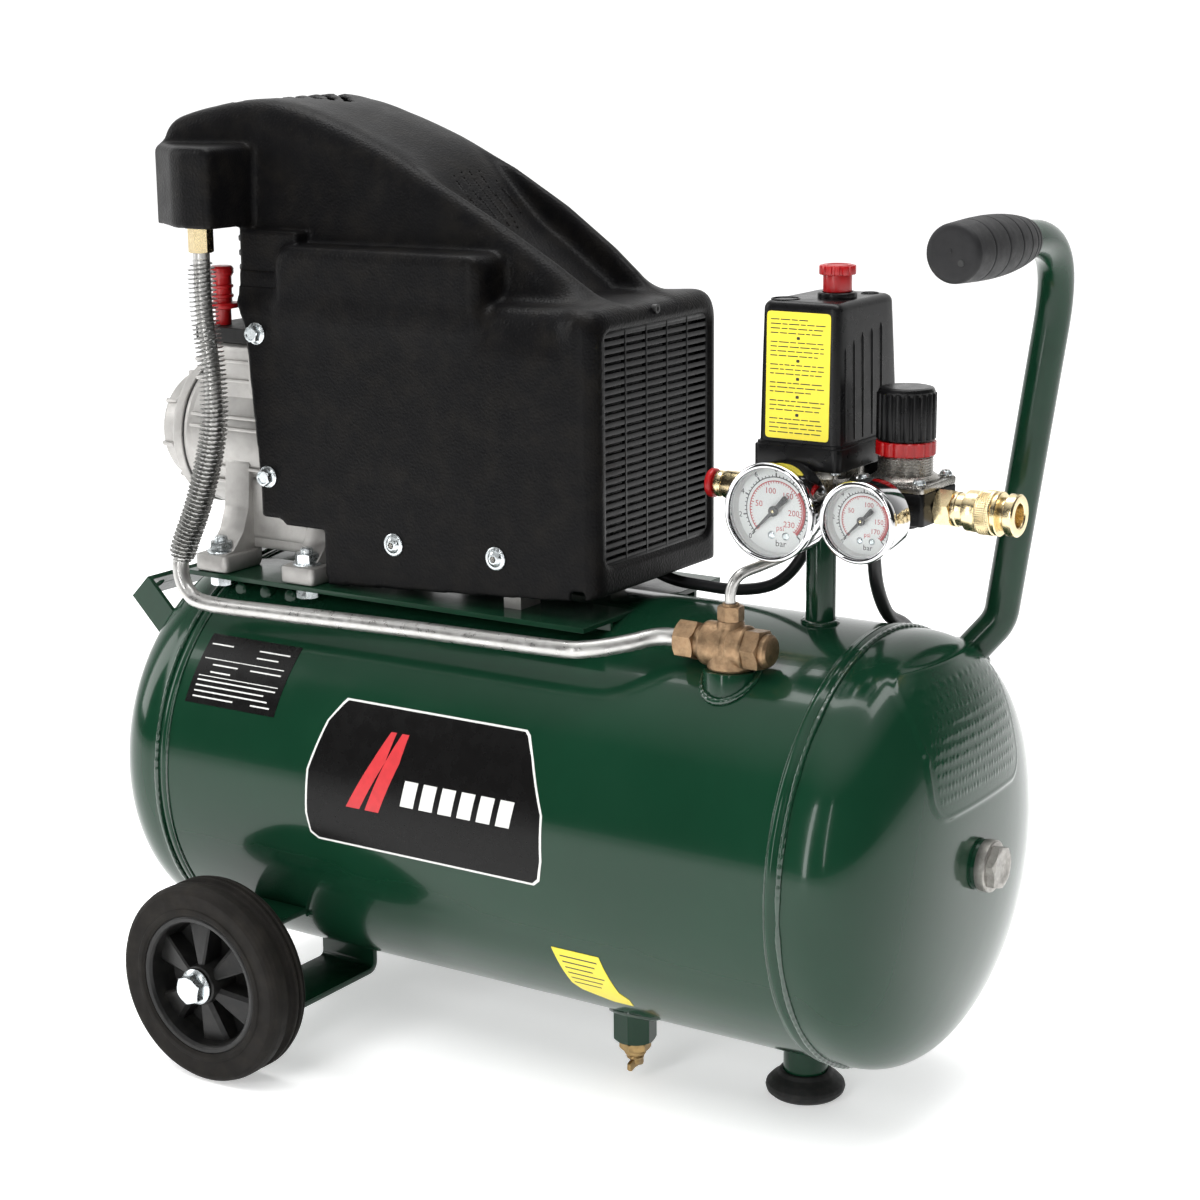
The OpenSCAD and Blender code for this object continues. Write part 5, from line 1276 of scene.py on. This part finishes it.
def make_gauge(name, x, r, back, numbers, inner, body):
    """A gauge with its case, rim, dial, marks and figures, and the needle on its own body."""
    g = Piece(name + "_visual")
    at, axis = (x, 0, PIPE_Z), Y
    g.add(turned([(0, -51.9), (r - 1.7, -51.9), (r - 1.7, -57.8), (r, -57.8), (r, -40), (r - 2.4, -36.8),
                  (r - 4, -36), (0, -36)], at, axis, 96, 0.35), chrome)
    g.add(turned([(r - 1.9, -58.6), (r - 1.6, -61.6), (r - 0.4, -62), (r + 0.8, -61.4), (r + 1.3, -60.2),
                  (r + 1.3, -58), (r + 0.2, -57.2), (r - 1.0, -57.2)], at, axis, 96, 0.5, 2, True), chrome)
    g.add(hexed(at, axis, 8.1, 9, -36.4, both=True), brass)
    g.add(turned([(0, -28), (6, -28), (6, back), (0, back)], at, axis, 32, 0.3), brass)
    g.add(turned([(0, -52.0), (r - 1.75, -52.0), (r - 1.75, -52.3), (0, -52.3)], at, axis, 96, 0.05), dial)
    g.add(turned([(r - 2.6, -52.2), (r - 1.72, -52.2), (r - 1.72, -57), (r - 2.3, -57)], at, axis,
                 96, 0.1, 1, True), dial)
    y, inner_r = -52.34, r * 0.60
    for k in range(41):
        big = k % 5 == 0
        tick(g, x, r * 0.70, r * (0.79 if big else 0.745), 45 + 270 * k / 40,
             r * (0.030 if big else 0.018), y, ink_and_painted_shade)
    dial_arc(g, x, r * 0.69, r * 0.712, 45, 315, y, ink_and_painted_shade)
    for k in range(47):
        big = k % 10 == 0
        tick(g, x, inner_r * (0.90 if big else 0.95), inner_r * 1.03,
             45 + 270 * k / 46, r * 0.018, y, red_ink)
    dial_arc(g, x, inner_r * 1.01, inner_r * 1.045, 45, 315, y, red_ink)
    dial_arc(g, x, inner_r * 1.06, r * 0.70, 232, 315, y, red_ink)
    for i, text in enumerate(numbers):
        a = math.radians(45 + 270 * i / (len(numbers) - 1))
        lettered(g, text, r * 0.16, (x - math.sin(a) * r * 0.86, y, PIPE_Z - math.cos(a) * r * 0.86), ink_and_painted_shade)
    for share, text in inner:
        a = math.radians(45 + 270 * share)
        lettered(g, text, r * 0.18, (x - math.sin(a) * r * 0.42, y, PIPE_Z - math.cos(a) * r * 0.42), red_ink)
    lettered(g, "psi", r * 0.17, (x + r * 0.1, y, PIPE_Z - r * 0.37), red_ink)
    lettered(g, "bar", r * 0.2, (x + r * 0.12, y, PIPE_Z - r * 0.70), ink_and_painted_shade)
    for dx in (-0.1, 0.24):
        g.add(turned([(0, 0), (r * 0.085, 0), (r * 0.085, 0.5), (r * 0.05, 0.8), (0, 0.8)],
                     (x + dx * r, -52.3, PIPE_Z - 0.53 * r), (0, -1, 0), 24, 0.1), zinc)
    g.make("frame", [name], "zinc")
    n = Piece(body + "_visual")
    c, s = math.cos(math.radians(45)), math.sin(math.radians(45))
    along = np.array([-c, 0, -s])
    side = np.array([-s, 0, c])
    blade = [(-0.44 * r, -0.055 * r), (-0.40 * r, -0.07 * r), (-0.16 * r, -0.045 * r), (0, -0.045 * r),
             (0.5 * r, -0.022 * r), (0.70 * r, -0.004 * r), (0.70 * r, 0.004 * r), (0.5 * r, 0.022 * r),
             (0, 0.045 * r), (-0.16 * r, 0.045 * r), (-0.40 * r, 0.07 * r), (-0.44 * r, 0.055 * r)]
    ring = [np.array([[x + along[0] * q + side[0] * w, yy, PIPE_Z + along[2] * q + side[2] * w] for q,
                      w in blade]) for yy in (-55.3, -55.9)]
    n.add(skin(ring), ink_and_painted_shade)
    n.add(turned([(1.06, -54.8), (r * 0.11, -54.8), (r * 0.11, -56.2), (r * 0.07, -56.8), (1.06, -56.8)], at,
                 axis, 32, 0.2, 2, True), ink_and_painted_shade)
    n.make(body, [body], "cast_black")


def make_gauges():
    """Both gauges with their lenses and pivots."""
    make_gauge("tank_gauge", 170, 26, -14, ["0", "2", "4", "6", "8", "10", "12", "14", "16"],
               [(0.22, "50"), (0.43, "100"), (0.65, "150"), (0.85, "200"), (0.99, "230")], "tank_needle")
    make_gauge("outlet_gauge", 223, 21, -21, ["0", "2", "4", "6", "8", "10", "12"],
               [(0.28, "50"), (0.57, "100"), (0.84, "150"), (0.98, "170")], "outlet_needle")
    p = Piece("gauge_lens_visual")
    pin = Piece("gauge_pivots")
    for x, r in ((170, 26), (223, 21)):
        p.add(turned([(0, -60.0), (r - 1.66, -60.0), (r - 1.66, -60.9), (r - 5, -61.4), (0, -61.6)],
                     (x, 0, PIPE_Z), Y, 72, 0), glass)
        pin.add(turned([(0, -51), (1.0, -51), (1.0, -56.6), (0.8, -57.1), (0, -57.2)],
                       (x, 0, PIPE_Z), Y, 20, 0.1), brass)
    p.make("frame", ["gauge_lenses"], "lens")
    pin.make("frame")


def make_regulator():
    """Regulator body, bonnet, lock ring, knob, coupler and its sleeve."""
    b = Piece("regulator_body_visual")
    b.add(rbox((200, -21, 352), (242, 21, 369.9), 1.0, 2.5, 2), moulded)
    b.add(turned([(0, 347), (7.4, 347), (8, 347.6), (8, 353), (0, 353)], REGULATOR, Z, 48, 0.4), moulded)
    b.make("frame", ["regulator_body"], "black_plastic")
    n = Piece("regulator_bonnet_visual")
    n.add(rbox((200, -21, 370.02), (242, 21, 374.2), 0.8, 2.5, 2), nickel)
    n.add(turned([(0, 373.8), (19.5, 373.8), (19, 375.2), (16.2, 377.2), (0, 377.2)],
                 REGULATOR, Z, 64, 0.6), nickel)
    thread(n, REGULATOR, Z, 15.2, 376.5, 387, 1.5, nickel, 0.7, 64)
    n.add(turned([(0, 386), (11.9, 386), (11.9, 395.4), (4.9, 395.4), (4.9, 405), (0, 405)],
                 REGULATOR, Z, 48, 0.3), nickel)
    for x in (-16.4, 16.4):
        for y in (-16.4, 16.4):
            c = (221 + x, y, 0)
            n.add(turned([(0, 374), (3.6, 374), (3.6, 375.6), (2.6, 377.2), (0, 377.6)], c, Z, 32, 0.4), zinc)
            for a in (30, 120):
                u = (math.cos(math.radians(a)), math.sin(math.radians(a)), 0)
                n.add(prism(rect(4.2, 0.8, 0.2, 2), 376.6, 377.75, c, Z, 0.05, 1, up=u), dull_zinc)
            n.add(turned([(0, 370), (4.6, 370), (4.6, 374.6), (0, 374.6)], c, Z, 32, 0.4), nickel)
    n.make("frame", ["regulator_bonnet"], "nickel")
    r = Piece("lock_ring_visual")
    ring = np.array(gear(15.7, 0.8, 16, 0.72))
    hole = ring / np.linalg.norm(ring, axis=1)[:, None] * 12.06
    levels = ((hole, 387.5), (ring * 0.96, 387.5), (ring, 388.1), (ring, 394.7), (ring * 0.96, 395.3),
              (hole, 395.3))
    r.add(skin([np.c_[q, np.full(len(q), z)] + REGULATOR for q, z in levels], True), red_shiny)
    r.make("lock_ring", ["lock_ring"], "red_plastic")
    k = Piece("regulator_knob_visual")
    prof = gear(15.1, 1.15, 20, 0.58)
    k.add(prism(prof, 396.2, 421.5, REGULATOR, Z, 0.5), moulded)
    k.add(turned([(0, 420), (15.2, 420), (15.4, 422.4), (14.6, 424), (12.6, 424.5), (0, 424.3)], REGULATOR,
                 Z, 64, 0.8, 3), moulded)
    k.add(turned([(5.1, 396.1), (15.5, 396.1), (15.5, 397.6), (5.1, 397.6)], REGULATOR, Z,
                 64, 0.3, 2, True), moulded)
    k.make("regulator_knob", ["regulator_knob"], "black_plastic")

    c = Piece("coupler_body_visual")
    at = (0, 0, PIPE_Z)
    c.add(turned([(0, 199), (7.5, 199), (7.5, 205), (0, 205)], at, X, 32, 0.2), brass)
    c.add(hexed(at, X, 11, 9.6, 242.1, both=True, spin=15), brass)
    c.add(turned([(6.5, 268), (6.5, 288.3), (7.2, 289), (10.8, 289), (11.6, 288.2), (11.6, 283.6),
                  (10.9, 283), (9.0, 282.6), (9.0, 254.5), (9.6, 254), (9.6, 252), (7, 251), (4, 251),
                  (4, 268)], at, X, 72, 0.35, 2, True), brass)
    c.add(turned([(0, 251.4), (4.1, 251.4), (4.1, 262), (0, 262)], at, X, 24, 0), dull_brass)
    c.make("frame", ["coupler_body"], "brass")
    s = Piece("coupler_sleeve_visual")
    inner, rows = 9.06, []
    count, t = 132, np.linspace(0, 2 * math.pi, 132, endpoint=False)
    prof = [(inner, 258.8), (10.2, 258.8), (11.2, 259.6), (11.4, 265.2), (11.1, 265.8),
            (11.1, 266.4), (11.8, 267)]
    fine = [(12.0, x) for x in np.arange(267.3, 275.4, 0.42)]
    tail = [(11.8, 275.7), (11.1, 276.0), (11.1, 276.7), (12.1, 277.0), (12.1, 278.4),
            (11.6, 278.9), (inner, 278.9)]
    for q in prof + fine + tail:
        r0 = np.full(count, q[0])
        if q in fine:
            r0 = r0 + 0.34 * np.maximum(np.sin(t * 33 + q[1] * 2.6) * np.sin(t * 33 - q[1] * 2.6), -0.4)
        rows.append(np.c_[np.full(count, q[1]), r0 * np.cos(t), PIPE_Z + r0 * np.sin(t)])
    s.add(skin(rows, True), brass)
    s.make("coupler_sleeve", ["coupler_sleeve"], "brass", 40)


make_switch()
make_gauges()
make_regulator()


# Floor, light and world ------------------------------------------------------------------------
def make_stage():
    """The floor, the lights and the world."""
    mesh = bpy.data.meshes.new("floor")
    mesh.from_pydata([(-9, -9, 0), (9, -9, 0), (9, 9, 0), (-9, 9, 0)], [], [(0, 1, 2, 3)])
    mesh.materials.append(plaster)
    floor = bpy.data.objects.new("floor", mesh)
    floor.location = (0, 0, -0.0006)
    link(floor)

    def area(name, at, look, size, power, glossy=True):
        """A softbox at a place, turned to the point look."""
        data = bpy.data.lights.new(name, "AREA")
        data.shape, data.size, data.size_y, data.energy = "RECTANGLE", size[0], size[1], power
        lamp = bpy.data.objects.new(name, data)
        lamp.location = at
        lamp.rotation_mode = "QUATERNION"
        lamp.rotation_quaternion = (Vector(look) - Vector(at)).to_track_quat("-Z", "Y")
        lamp.visible_glossy = glossy
        link(lamp)

    area("front_softbox", (-0.2, -1.3, 2.3), (0, 0, 0.3), (2.4, 1.2), 30, False)
    area("top_softbox", (0, 0.35, 2.5), (0, 0, 0.3), (2.6, 1.0), 46)
    area("dial_light", (0.25, -2.2, 1.3), (0.15, 0, 0.38), (0.5, 0.5), 12, False)
    area("middle_strip", (-0.15, -2.3, 0.85), (0, 0, 0.3), (0.22, 1.5), 11)
    area("camera_strip", (0.98, -2.05, 0.95), (0.1, 0, 0.3), (0.09, 1.2), 3)
    area("left_softbox", (-2.3, -1.0, 1.2), (-0.1, 0, 0.3), (0.8, 1.6), 20)
    area("right_softbox", (2.5, 0.5, 1.4), (0.1, 0, 0.3), (0.9, 1.6), 12, False)

    world = bpy.data.worlds.new("studio")
    scene.world = world
    world.use_nodes = True
    tree = world.node_tree
    new, join = tree.nodes.new, tree.links.new
    split = new("ShaderNodeSeparateXYZ")
    turn = new("ShaderNodeMapping")
    turn.inputs["Rotation"].default_value = (0, 0, -math.radians(33))
    join(new("ShaderNodeTexCoord").outputs["Generated"], turn.inputs["Vector"])
    join(turn.outputs["Vector"], split.inputs[0])

    def ramp(source, low, high, stops):
        """A grey for each value of the source between low and high."""
        r = new("ShaderNodeMapRange")
        r.inputs["From Min"].default_value, r.inputs["From Max"].default_value = low, high
        join(source, r.inputs["Value"])
        c = new("ShaderNodeValToRGB")
        join(r.outputs["Result"], c.inputs["Fac"])
        while len(c.color_ramp.elements) < len(stops):
            c.color_ramp.elements.new(0.5)
        for e, (at, k) in zip(c.color_ramp.elements, stops):
            e.position, e.color = at, (k, k, k, 1)
        return c.outputs["Color"]

    height = ramp(split.outputs["Z"], -1, 1, [(0, 0.0), (0.80, 0.0), (0.93, 0.9), (1.0, 1.0)])
    depth = ramp(split.outputs["Y"], -1, 1, [(0, 0.02), (0.55, 0.03), (0.72, 0.35), (0.82, 1.0)])
    times = new("ShaderNodeMix")
    times.data_type, times.blend_type = "RGBA", "LIGHTEN"
    times.inputs[0].default_value = 1
    join(height, times.inputs[6])
    join(depth, times.inputs[7])
    join(times.outputs[2], tree.nodes["Background"].inputs["Color"])
    tree.nodes["Background"].inputs["Strength"].default_value = 1.15


make_stage()
scene.view_settings.view_transform = "Standard"
